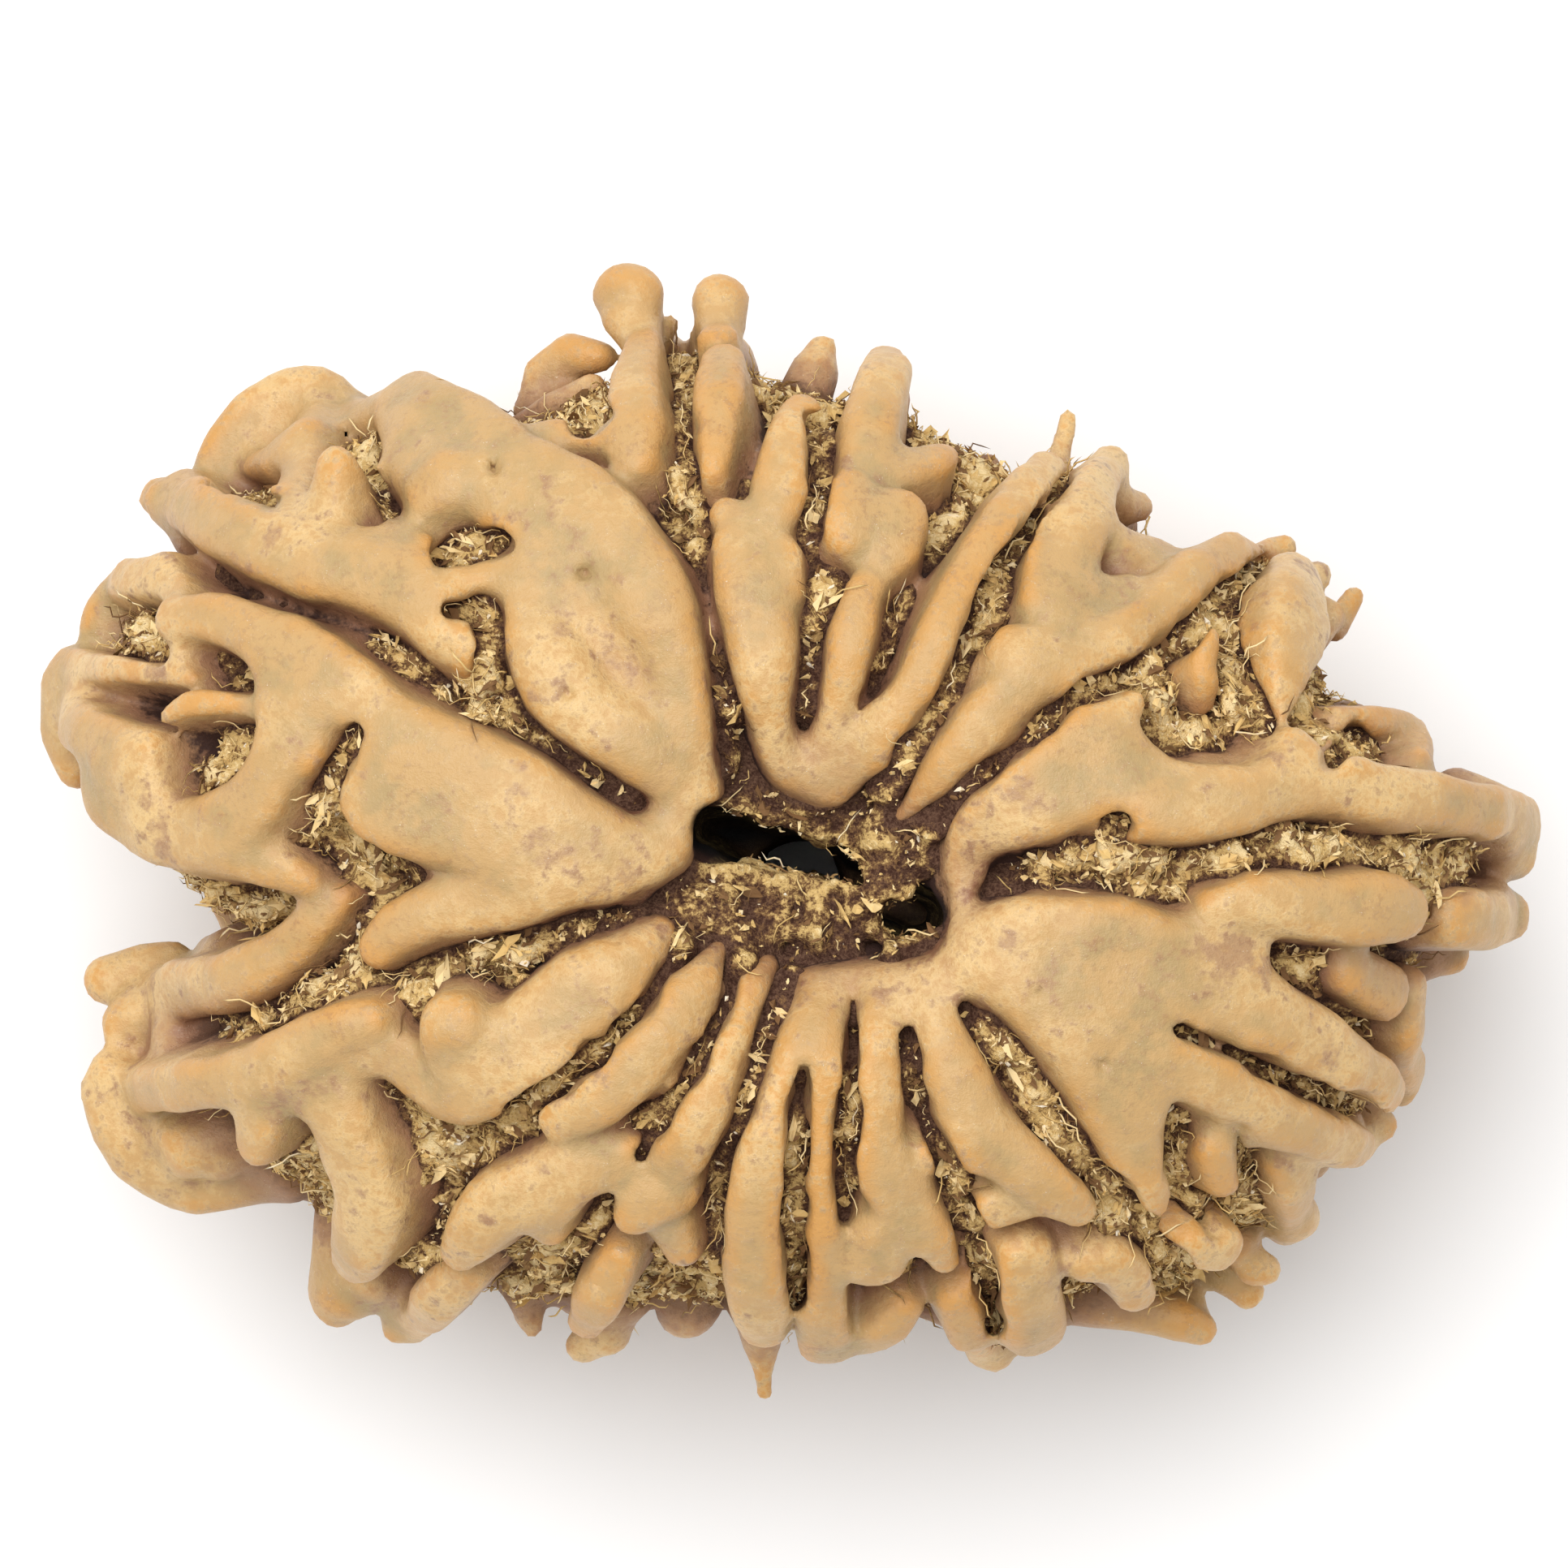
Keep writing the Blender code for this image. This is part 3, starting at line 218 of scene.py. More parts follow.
# The ribs above the mouth: three from one foot in a V, the short ones and cones beyond them,
# and the forked ribs of the upper right.
TOP = [
    [(790, 572, 26, 94), (785, 535, 34, 104), (785, 480, 26, 108), (793, 430, 19, 110),
     (797, 392, 16, 108)],
    [(745, 545, 26, 92), (690, 545, 20, 84), (655, 555, 16, 80)],
    [(893, 455, 22, 94), (889, 500, 27, 104), (882, 550, 23, 100), (878, 585, 15, 92)],
    [(887, 425, 20, 98), (885, 412, 17, 96)],
    [(988, 515, 22, 92), (976, 555, 32, 100), (962, 605, 32, 98), (950, 645, 22, 88)],
    [(895, 640, 20, 82), (930, 652, 18, 82), (955, 640, 18, 84)],
    [(903, 682, 24, 92), (922, 722, 35, 104), (935, 770, 41, 108), (940, 820, 36, 108),
     (945, 870, 26, 102), (952, 915, 18, 88), (968, 948, 15, 74)],
    [(965, 690, 20, 94), (968, 730, 20, 96)],
    [(1056, 590, 24, 82), (1070, 540, 34, 98), (1083, 490, 34, 104), (1090, 446, 20, 98)],
    [(1095, 590, 24, 82), (1140, 580, 28, 88), (1158, 568, 17, 84)],
    [(1040, 665, 22, 94), (1035, 632, 25, 100), (1045, 610, 18, 94)],
    [(1070, 640, 24, 90), (1105, 640, 25, 98), (1100, 680, 25, 96), (1080, 712, 16, 86)],
    [(1060, 737, 19, 92), (1050, 780, 24, 100), (1040, 830, 19, 98), (1028, 880, 16, 90),
     (1020, 930, 24, 82), (1022, 963, 22, 74)],
    [(972, 930, 18, 74), (998, 955, 26, 78), (1025, 965, 24, 74), (1058, 932, 24, 82),
     (1085, 897, 22, 92)],
    [(1283, 583, 16, 94), (1256, 625, 27, 104), (1220, 680, 31, 108), (1186, 735, 34, 110),
     (1160, 790, 32, 110), (1135, 840, 27, 106), (1105, 885, 24, 96), (1075, 925, 22, 84)],
    [(1366, 573, 20, 88), (1345, 610, 23, 98), (1325, 660, 24, 100), (1310, 710, 26, 96),
     (1300, 760, 32, 98)],
    [(1276, 702, 20, 96), (1276, 745, 24, 98)],
    [(1235, 805, 30, 100), (1270, 815, 34, 104), (1305, 830, 28, 100)],
    [(1250, 845, 34, 104), (1207, 890, 30, 102), (1172, 935, 25, 96), (1137, 980, 19, 84),
     (1112, 1003, 13, 70)],
    [(1340, 812, 28, 96), (1378, 788, 30, 100), (1420, 755, 30, 104), (1465, 717, 30, 102),
     (1510, 693, 24, 94), (1550, 685, 18, 84), (1583, 674, 16, 78)],
    [(1330, 755, 30, 84), (1385, 745, 26, 80)],
    [(1375, 690, 26, 74), (1415, 697, 24, 64)],
    [(1585, 725, 38, 88), (1586, 760, 50, 100), (1573, 805, 42, 104), (1568, 850, 26, 98),
     (1565, 882, 12, 84)],
    [(1475, 862, 20, 66), (1475, 828, 28, 96), (1479, 793, 22, 110)],
]

# Teeth and spines of the rim: places (across, down, height above the waist, radius).
TEETH = [
    [(790, 430, 150, 24), (776, 385, 120, 38), (774, 359, 105, 47)],
    [(890, 430, 150, 24), (888, 398, 120, 35), (889, 366, 105, 36)],
    [(652, 505, 60, 18), (668, 462, 60, 22), (702, 434, 70, 24), (738, 440, 90, 20)],
    [(632, 532, 110, 18), (682, 505, 130, 22), (730, 478, 150, 20)],
    [(985, 505, 120, 36), (1003, 460, 100, 30), (1012, 430, 85, 18)],
    [(1100, 545, 80, 20), (1104, 490, 60, 20)],
    [(1220, 610, 120, 24), (1218, 572, 100, 17)],
    [(1298, 590, 120, 15), (1308, 545, 90, 11), (1314, 515, 75, 8)],
    [(1350, 600, 140, 22), (1372, 568, 110, 18)],
    [(1380, 625, 110, 24), (1402, 625, 80, 20)],
    [(1600, 720, 100, 24), (1622, 708, 80, 18)],
    [(1610, 780, 90, 26), (1635, 760, 70, 20)],
    [(1645, 775, 40, 16), (1668, 735, 30, 14)],
    [(1600, 850, 60, 24), (1613, 835, 40, 14)],
    [(1796, 970, 40, 28), (1838, 986, 30, 22)],
    [(1850, 1050, 20, 30), (1868, 1055, 0, 22)],
    [(1760, 1180, -20, 26), (1790, 1180, -30, 20)],
    [(1745, 1195, -40, 18)],
    [(1690, 1380, 20, 22), (1705, 1388, 10, 20)],
    [(1605, 1430, 40, 18), (1618, 1433, 30, 15)],
    [(1590, 1500, 60, 28), (1600, 1500, 40, 22)],
    [(1545, 1560, 60, 22), (1558, 1563, 50, 18)],
    [(1340, 1600, 60, 32), (1400, 1615, 50, 30), (1450, 1630, 50, 30), (1475, 1640, 40, 22)],
    [(1225, 1620, 70, 24), (1225, 1675, 20, 18)],
    [(1275, 1630, 60, 28), (1270, 1650, 30, 20)],
    [(1080, 1640, 40, 20), (1082, 1650, 20, 14)],
    [(1140, 1600, 80, 24), (1190, 1620, 60, 20)],
    [(936, 1600, 90, 32), (940, 1660, 40, 23), (942, 1722, 10, 10)],
    [(845, 1560, 80, 28), (844, 1614, 30, 36)],
    [(838, 396, 90, 12), (842, 460, 110, 20)],
    [(1308, 1588, 60, 24)],
    [(758, 1600, 60, 36), (745, 1640, 40, 36), (722, 1662, 25, 24)],
    [(775, 1600, 60, 24)],
    [(605, 1520, 90, 28), (635, 1570, 60, 26), (652, 1625, 30, 18), (655, 1638, 25, 12)],
    [(440, 1545, 60, 42), (425, 1590, 40, 40), (415, 1608, 20, 30)],
    [(495, 1600, 30, 18), (487, 1642, 10, 14)],
    [(424, 1470, 70, 30), (408, 1535, 50, 28), (404, 1590, 20, 26)],
    [(350, 1445, 40, 34), (290, 1455, 30, 30), (245, 1470, 20, 24)],
    [(370, 1400, 60, 34), (352, 1420, 50, 24)],
    [(80, 850, -20, 28), (78, 900, -30, 28), (95, 945, -20, 26)],
    [(130, 1205, -40, 26), (175, 1192, -40, 26), (215, 1182, -30, 22)],
    [(130, 1320, 20, 22), (120, 1340, 10, 16)],
    [(146, 1368, 20, 28), (172, 1418, 10, 36), (222, 1450, 0, 34)],
    [(222, 612, 50, 28), (202, 612, 40, 20)],
    [(1652, 905, 60, 26), (1700, 900, 50, 24), (1738, 920, 40, 24)],
]

# Where keels go on down the side: places (across, down) of teeth and rib ends at the rim.
KEEL_STARTS = [
    (1885, 1011), (1855, 1125), (1745, 1200), (1715, 895), (1620, 760), (1500, 700), (1385, 610),
    (1215, 580), (1090, 470), (888, 380), (780, 350), (670, 470), (540, 500), (420, 490),
    (290, 510), (195, 612), (140, 720), (65, 870), (200, 1050), (130, 1200), (125, 1330),
    (200, 1450), (320, 1460), (415, 1600), (505, 1620), (650, 1610), (730, 1640), (845, 1610),
    (940, 1640), (1070, 1640), (1220, 1650), (1390, 1610), (1545, 1570), (1690, 1385),
    (1740, 1290),
]
KEEL_FALLS = [6, -8, -22, -35, -47, -59, -70, -80]
KEEL_JOIN_FALL = -47
SIDE_WIDTH = (22, 42)
SIDE_HEIGHT = (70, 118)
WAIST_HEIGHT = (18, 92)
SPUR_FALL = -20
SPUR_WIDTH = (13, 20)
SPUR_LENGTH = (40, 64)
SEED = 18

# Narrow furrows that part the ribs where their feet run together: (across, down, half width).
FURROWS = [
    [(1312, 592, 9), (1272, 642, 15), (1236, 700, 16), (1212, 760, 17), (1190, 802, 16),
     (1168, 850, 15), (1140, 892, 15), (1108, 935, 15), (1090, 965, 12)],
    [(1556, 690, 9), (1500, 738, 16), (1462, 782, 17), (1418, 818, 16), (1370, 840, 17),
     (1322, 856, 15), (1288, 890, 15), (1240, 930, 14), (1190, 970, 13), (1150, 1010, 12)],
    [(1512, 745, 12), (1515, 800, 16), (1530, 850, 20), (1555, 892, 16)],
    [(835, 1170, 9), (800, 1232, 13), (745, 1285, 14), (690, 1332, 16), (640, 1366, 18)],
    [(915, 1190, 8), (890, 1250, 11), (855, 1312, 13), (820, 1372, 14), (790, 1420, 14)],
    [(975, 1210, 9), (950, 1260, 10), (930, 1320, 12), (905, 1392, 12), (888, 1450, 13),
     (882, 1530, 12)],
    [(990, 1312, 8), (982, 1360, 12), (979, 1430, 16), (980, 1510, 17), (982, 1600, 14)],
    [(1050, 1238, 11), (1048, 1300, 15), (1046, 1360, 13), (1042, 1430, 11), (1040, 1500, 11)],
    [(1112, 1275, 13), (1124, 1330, 13), (1144, 1390, 11), (1172, 1442, 12), (1196, 1500, 14),
     (1214, 1560, 17), (1224, 1630, 16)],
    [(1190, 1242, 13), (1236, 1302, 18), (1284, 1372, 19), (1332, 1430, 19), (1388, 1488, 19),
     (1436, 1545, 19), (1480, 1598, 12)],
    [(1452, 1378, 11), (1444, 1430, 14), (1462, 1482, 11), (1500, 1520, 8)],
    [(1522, 1392, 9), (1530, 1440, 13), (1534, 1482, 11)],
    [(845, 385, 7), (836, 450, 13), (842, 520, 15), (852, 600, 14)],
    [(1450, 1268, 14), (1510, 1292, 15), (1590, 1330, 14), (1650, 1356, 13), (1690, 1364, 10)],
    [(1000, 520, 8), (1012, 560, 12), (1010, 610, 14), (1000, 660, 16)],
    [(548, 690, 14), (578, 678, 24), (618, 670, 18)],
    [(560, 756, 13), (592, 752, 20), (606, 790, 17), (600, 830, 15)],
    [(440, 908, 10), (424, 934, 13), (404, 972, 17)],
    [(1374, 1052, 10), (1378, 1016, 18)],
    [(268, 588, 12), (300, 602, 15), (338, 620, 11)],
    [(428, 536, 9), (452, 574, 13), (488, 632, 12)],
    [(340, 520, 13), (322, 536, 17)],
    [(745, 512, 10), (720, 524, 14)],
    [(120, 742, 12), (165, 778, 17), (196, 800, 12)],
    [(1668, 905, 13), (1640, 936, 17)],
]

# Small pits in the plates, each a very short line given in the same way.
PITS = [
    [(305, 497, 8), (308, 500, 8)],
    [(609, 578, 6), (611, 580, 6)],
    [(720, 707, 7), (722, 709, 7)],
    [(1355, 1310, 7), (1357, 1312, 7)],
    [(700, 855, 5), (702, 857, 5)],
]

# The carved furrows stop at this height over the core and above this level, and the pits are
# this deep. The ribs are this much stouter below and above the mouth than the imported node's.
FURROW_FLOOR, FURROW_LEVEL, FURROW_ROUGHNESS, FURROW_BLEND = 18, 40, 7, 8
PIT_LEVEL, PIT_EDGE, PIT_DEPTH = 80, 4, 12
STOUTER_BELOW, STOUTER_ABOVE = 9, 5

# How far noise moves the ribs in broad and in short waves, the fibre stubs of the furrow
# floors, and the wall of the hole. The floors' stubs fade out at this distance to the core.
SWELL, RIPPLE, STUBS, HOLE_ROUGHNESS = 6.5, 3.2, 6.0, 6
STUBS_REACH = 45

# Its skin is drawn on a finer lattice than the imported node's, and it rests on the same worn
# crests. The lattice's box and spacing are in steps.
BOX_LOW, BOX_HIGH = (-990, -740, -620), (980, 790, 640)
LATTICE = 8
TRIANGLES = 190000
SEAT_LEVEL = -522


def reach_of_core(angle):
    """The core's reach towards an angle: a smooth closed curve through CORE_REACH."""
    turn = np.mod(np.asarray(angle, float) / (2 * np.pi), 1) * len(CORE_REACH)
    low = np.floor(turn).astype(int)
    share = turn - low
    reach = np.array(CORE_REACH, float)
    before, here, after, beyond = (reach[(low + i) % len(reach)] for i in (-1, 0, 1, 2))
    bend = 2 * before - 5 * here + 4 * after - beyond
    twist = 3 * (here - after) + beyond - before
    return here + share * (after - before + share * (bend + share * twist)) / 2


def dimple(x, y):
    """How far the core dips at a place seen from above, measured from the slit's middle."""
    x = x - (MOUTH[2][0] - AXIS_ACROSS)
    y = y - (AXIS_DOWN - MOUTH[2][1])
    return DIMPLE_DEPTH * np.exp(-(x**2 + y**2) / DIMPLE_SPREAD**2)


def crest_place(across, down, height):
    """The point at a height above the core's upper side, and the outward direction there."""
    x, y = across - AXIS_ACROSS, AXIS_DOWN - down
    distance = np.hypot(x, y)
    reach = float(reach_of_core(np.arctan2(y, x))) + height
    tall = CORE_HALF_HEIGHT + height
    share = min(distance / reach, 1.0)
    rise = (1 - share**CORE_POWER) ** (1 / CORE_POWER)
    side = share ** (CORE_POWER - 1) / reach
    normal = np.array([x / distance * side, y / distance * side, rise ** (CORE_POWER - 1) / tall])
    return np.array([x, y, rise * tall - dimple(x, y)]), normal / np.linalg.norm(normal)


def side_place(angle, fall, height):
    """The point at a height above the core's side, at an angle round it and at a fall in
    degrees from its waist, and the outward direction there."""
    level, out = np.sin(np.radians(fall)), np.cos(np.radians(fall))
    reach = float(reach_of_core(angle))
    flat = out ** (2 / CORE_POWER)
    rise = np.sign(level) * abs(level) ** (2 / CORE_POWER)
    side = flat ** (CORE_POWER - 1) / reach
    up = np.sign(rise) * abs(rise) ** (CORE_POWER - 1) / CORE_HALF_HEIGHT
    normal = np.array([np.cos(angle) * side, np.sin(angle) * side, up])
    normal /= np.linalg.norm(normal)
    x, y = reach * flat * np.cos(angle), reach * flat * np.sin(angle)
    core = np.array([x, y, rise * CORE_HALF_HEIGHT - np.sign(rise) * dimple(x, y)])
    return core + normal * height, normal


def smoothed(rib):
    """A rib's places with one more between each two, on a smooth curve through them."""
    places = np.array(rib, float)
    if len(places) < 3:
        return places
    before = np.vstack([2 * places[0] - places[1], places[:-2]])
    after = np.vstack([places[2:], 2 * places[-1] - places[-2]])
    between = (9 * (places[:-1] + places[1:]) - before - after) / 16
    full = np.empty((2 * len(places) - 1, places.shape[1]))
    full[::2], full[1::2] = places, between
    return full


def drawn_ribs():
    """The ribs of the upper side, as lists of knots: the middle of the rounded top, the
    outward direction, the half width, the top's thickness and the depth of the walls."""
    knots = []
    for rib in UPPER_LEFT + LEFT + LOWER_LEFT + BOTTOM + LOWER_RIGHT + RIGHT + TOP:
        knots.append([])
        for across, down, width, height in smoothed(rib).tolist():
            point, normal = crest_place(across, down, height)
            thick = min(width, TOP_THICKNESS)
            middle = point - normal * thick * (0, 0, 1)
            knots[-1].append((middle.tolist(), normal.tolist(), width, thick, height + 40))
    return knots


def side_knot(turn, fall, width, height):
    """One place of a keel or a spur, as the same five values."""
    point, normal = side_place(turn, fall, height)
    width, height = float(width), float(height)
    return (point - normal * width).tolist(), normal.tolist(), width, width, height + 40


def keels():
    """The ribs of the side and the underside. Each goes down from a rim tooth and reaches
    less far out than the tooth. Every second one joins its neighbour, and the others end
    round the lower mouth. Short spurs stand out sideways on the way."""
    chance = np.random.default_rng(SEED)
    starts = sorted((np.arctan2(AXIS_DOWN - down, across - AXIS_ACROSS),
                     np.hypot(across - AXIS_ACROSS, AXIS_DOWN - down))
                    for across, down in KEEL_STARTS)
    knots = []
    for number, (angle, distance) in enumerate(starts):
        next_angle = starts[(number + 1) % len(starts)][0]
        turn_to_next = (next_angle - angle) % (2 * np.pi)
        joins = number % 2 == 1
        waist = np.clip(distance - float(reach_of_core(angle)) - 14, *WAIST_HEIGHT)
        keel = []
        for fall in KEEL_FALLS:
            lower = np.clip(-fall / 45, 0, 1)
            turn = angle + chance.normal(0, 0.012 + 0.030 * lower)
            if joins:
                turn += turn_to_next * np.clip((KEEL_JOIN_FALL + 16 - fall) / 24, 0, 1)
            height = waist * (1 - lower) + chance.uniform(*SIDE_HEIGHT) * lower
            width = chance.uniform(*SIDE_WIDTH) * (1 - 0.35 * np.clip(-fall / 80, 0, 1))
            keel.append((turn, fall, width, height))
            if joins and fall < KEEL_JOIN_FALL:
                break
        knots.append([side_knot(*place) for place in smoothed(keel)])
        for turn, fall, width, height in keel[1:-1]:
            if fall > SPUR_FALL:
                continue
            around = max(float(reach_of_core(turn)) * np.cos(np.radians(fall)), 200)
            for sideways in (-1, 1):
                tip_turn = turn + sideways * chance.uniform(*SPUR_LENGTH) / around
                tip_fall = fall + chance.uniform(-5, 5)
                tip_height = height * chance.uniform(0.7, 1.0)
                tip = (tip_turn, tip_fall, chance.uniform(*SPUR_WIDTH), tip_height)
                if chance.random() < 0.6:
                    knots.append([side_knot(turn, fall, width * 0.8, height), side_knot(*tip)])
    return knots


class Lattice:
    """Evenly spaced places in a box, in steps from the core's middle."""

    def __init__(self, low, high, spacing):
        self.low, self.spacing = np.array(low, np.float32), float(spacing)
        counts = np.ceil((np.array(high) - self.low) / spacing).astype(int) + 1
        self.axes = [start + np.arange(count, dtype=np.float32) * self.spacing
                     for start, count in zip(self.low, counts)]
        self.shape = tuple(counts)

    def whole(self):
        return np.meshgrid(*self.axes, indexing="ij", sparse=True)

    def window(self, low, high):
        """The lattice's index ranges that cover a box, and its places there."""
        first = np.clip(np.floor((low - self.low) / self.spacing).astype(int), 0, self.shape)
        last = np.clip(np.ceil((high - self.low) / self.spacing).astype(int) + 1, 0, self.shape)
        cut = tuple(slice(a, b) for a, b in zip(first, last))
        return cut, np.meshgrid(*(axis[c] for axis, c in zip(self.axes, cut)), indexing="ij")

    def waves(self, wavelength, seed):
        """Smooth random values from -1 to 1: random numbers a wavelength apart, blended along
        each axis by shares that ease in and out between them."""
        weights = []
        for axis in self.axes:
            turn = (axis - axis[0]) / wavelength
            low = turn.astype(int)
            share = turn - low
            share = share * share * (3 - 2 * share)
            rows = np.zeros((len(axis), low[-1] + 2), np.float32)
            rows[np.arange(len(axis)), low] = 1 - share
            rows[np.arange(len(axis)), low + 1] = share
            weights.append(rows)
        values = np.random.default_rng(seed).uniform(-1, 1, [rows.shape[1] for rows in weights])
        values = values.astype(np.float32)
        for rows in weights:
            values = np.tensordot(values, rows, (0, 1))
        return values

    def sampled(self, values, points):
        """Values at points between the places, blended straight along each axis."""
        place = np.clip((points - self.low) / self.spacing, 0, np.array(self.shape) - 1.001)
        low = place.astype(int)
        share = place - low
        total = 0
        for corner in np.ndindex(2, 2, 2):
            weight = np.prod(np.where(corner, share, 1 - share), 1)
            total = total + weight * values[tuple((low + corner).T)]
        return total


def core_distance(lattice):
    """The core: a superellipsoid whose reach follows the angle, dipped at both ends."""
    x, y, z = lattice.whole()
    flat, angle = np.hypot(x, y), np.arctan2(y, x)
    z = z + np.tanh(z / 60) * dimple(x, y)
    size = (flat / reach_of_core(angle)) ** CORE_POWER
    size = (size + (np.abs(z) / CORE_HALF_HEIGHT) ** CORE_POWER) ** (1 / CORE_POWER)
    size = size.astype(np.float32)
    slopes = np.gradient(size, lattice.spacing)
    return (size - 1) / np.maximum(np.sqrt(sum(slope**2 for slope in slopes)), 1e-3)


def rib_distance(places, start, end):
    """Distance to one stretch of a rib: across it a cubic superellipse above the middle of
    its top, and below that a wall that leans outwards."""
    line = [e - s for s, e in zip(start[0], end[0])]
    square = max(sum(part**2 for part in line), 1e-6)
    offset = [place - s for place, s in zip(places, start[0])]
    share = np.clip(sum(o * part for o, part in zip(offset, line)) / square, 0, 1)
    offset = [o - share * part for o, part in zip(offset, line)]
    normal = [a + share * (b - a) for a, b in zip(start[1], end[1])]
    length = np.sqrt(sum(part**2 for part in normal))
    over = sum(o * part for o, part in zip(offset, normal)) / length
    across = np.sqrt(np.maximum(sum(o**2 for o in offset) - over**2, 0))
    width, thick, deep = (a + share * (b - a) for a, b in zip(start[2:], end[2:]))
    rise = np.maximum(over, 0) * width / thick
    sink = np.maximum(-over, 0)
    distance = np.cbrt(across**3 + rise**3) - width - WALL_LEAN * sink
    return np.maximum(distance, sink - deep)


def rib_room(knot):
    """The ends of the box that a rib's knot fills: its top and the foot of its wall."""
    foot = np.subtract(knot[0], np.multiply(knot[1], knot[4]))
    room = knot[2] + WALL_LEAN * knot[4]
    return np.minimum(knot[0], foot) - room, np.maximum(knot[0], foot) + room


def tooth_distance(places, start, end):
    """Distance to one stretch of a tooth, a cone with round ends."""
    line = [e - s for s, e in zip(start[0], end[0])]
    square = max(sum(part**2 for part in line), 1e-6)
    offset = [place - s for place, s in zip(places, start[0])]
    share = np.clip(sum(o * part for o, part in zip(offset, line)) / square, 0, 1)
    apart = np.sqrt(sum((o - share * part) ** 2 for o, part in zip(offset, line)))
    return apart - start[1] - share * (end[1] - start[1])


def tooth_room(knot):
    return np.subtract(knot[0], knot[1]), np.add(knot[0], knot[1])


def blended(lattice, strokes, distance, room):
    """The soft union of strokes: exp(-distance / RIB_BLEND), the nearest stretch of each
    stroke, summed over the strokes."""
    total = np.zeros(lattice.shape, np.float32)
    for stroke in strokes:
        lows, highs = np.array([room(knot) for knot in stroke]).transpose(1, 0, 2)
        margin = 5 * RIB_BLEND
        whole, _ = lattice.window(lows.min(0) - margin, highs.max(0) + margin)
        nearest = np.zeros([cut.stop - cut.start for cut in whole], np.float32)
        for number, end in enumerate(stroke[1:] or stroke, len(stroke) > 1):
            pair = [max(number - 1, 0), number]
            low, high = lows[pair].min(0) - margin, highs[pair].max(0) + margin
            part, grid = lattice.window(low, high)
            part = tuple(slice(a.start - b.start, a.stop - b.start) for a, b in zip(part, whole))
            near = np.exp(-np.clip(distance(grid, stroke[pair[0]], end) / RIB_BLEND, -30, 30))
            nearest[part] = np.maximum(nearest[part], near)
        total[whole] += nearest
    return total


def flat_distance(lattice, lines):
    """Distance from places to the nearest of some lines with half widths, seen from above."""
    x, y, _ = lattice.whole()
    nearest = 1e3
    for line in lines:
        for start, end in zip(line, line[1:]):
            ax, ay = start[0] - AXIS_ACROSS, AXIS_DOWN - start[1]
            bx, by = end[0] - start[0], start[1] - end[1]
            share = np.clip(((x - ax) * bx + (y - ay) * by) / (bx**2 + by**2), 0, 1)
            apart = np.hypot(x - ax - share * bx, y - ay - share * by)
            nearest = np.minimum(nearest, apart - start[2] - share * (end[2] - start[2]))
    return nearest.astype(np.float32)


def joined(a, b, blend):
    """The smooth union of two distances."""
    share = np.clip(0.5 + 0.5 * (b - a) / blend, 0, 1)
    return b + (a - b) * share - blend * share * (1 - share)


def hole_distance(lattice):
    """The thread hole: a slit that narrows as it goes down, then a round bore that widens
    again at the lower mouth."""
    x, y, z = lattice.whole()
    slit = flat_distance(lattice, [MOUTH]) + SLIT_NARROWING * np.maximum(SLIT_LEVEL - z, 0)
    slit = np.maximum(slit, MOUTH_FLOOR - z)
    across, down = HOLE_PLACE
    flare = (LOWER_MOUTH_RADIUS - HOLE_RADIUS) * np.clip((-z - 250) / 170, 0, 1)
    bore = np.hypot(x - across + AXIS_ACROSS, y - AXIS_DOWN + down) - HOLE_RADIUS - flare
    return joined(slit, bore, HOLE_BLEND)


def ribs_distance(lattice):
    """The distance of all ribs, keels and teeth, without the core."""
    teeth = [[([across - AXIS_ACROSS, AXIS_DOWN - down, level], radius)
              for across, down, level, radius in tooth] for tooth in TEETH]
    total = blended(lattice, drawn_ribs() + keels(), rib_distance, rib_room)
    total += blended(lattice, teeth, tooth_distance, tooth_room)
    return -RIB_BLEND * np.log(np.maximum(total, 1e-9))


def flooded(start, allowed):
    """Spreads from the start through the allowed places until it no longer grows."""
    reached, before = start & allowed, -1
    while reached.sum() != before:
        before = reached.sum()
        for axis in range(3):
            sheets, gates = np.moveaxis(reached, axis, 0), np.moveaxis(allowed, axis, 0)
            for i in range(1, len(sheets)):
                sheets[i] |= sheets[i - 1] & gates[i]
            for i in range(len(sheets) - 2, -1, -1):
                sheets[i] |= sheets[i + 1] & gates[i]
    return reached


def one_body(inside):
    """Fills sealed hollows and drops loose scraps."""
    corner, core = np.zeros_like(inside), np.zeros_like(inside)
    corner[0, 0, 0] = True
    inside = ~flooded(corner, ~inside)
    core[inside.shape[0] // 4, inside.shape[1] // 2, inside.shape[2] // 2] = True
    return flooded(core, inside)


def without_pinches(inside):
    """Fills lattice places until no two solid ones touch only across a square or a cube, and
    no two empty ones either, so that the skin is a clean sheet."""
    inside = inside.copy()
    found = True
    while found:
        found = False
        for pair in ((0, 1), (0, 2), (1, 2)):
            view = np.moveaxis(inside, pair, (0, 1))
            a, b, c, d = view[:-1, :-1], view[1:, 1:], view[1:, :-1], view[:-1, 1:]
            rising, falling = a & b & ~c & ~d, c & d & ~a & ~b
            found = found or bool(rising.any() or falling.any())
            c |= rising
            a |= falling
        for turn_y, turn_z in ((1, 1), (1, -1), (-1, 1), (-1, -1)):
            view = inside[:, ::turn_y, ::turn_z]
            ends = (slice(None, -1), slice(1, None))
            corners = [view[i, j, k] for i in ends for j in ends for k in ends]
            count = sum(corner.astype(np.int8) for corner in corners)
            lone = corners[0] & corners[7] & (count == 2)
            hollow = ~corners[0] & ~corners[7] & (count == 6)
            found = found or bool(lone.any() or hollow.any())
            corners[1][lone] = True
            corners[0][hollow] = True
    return inside


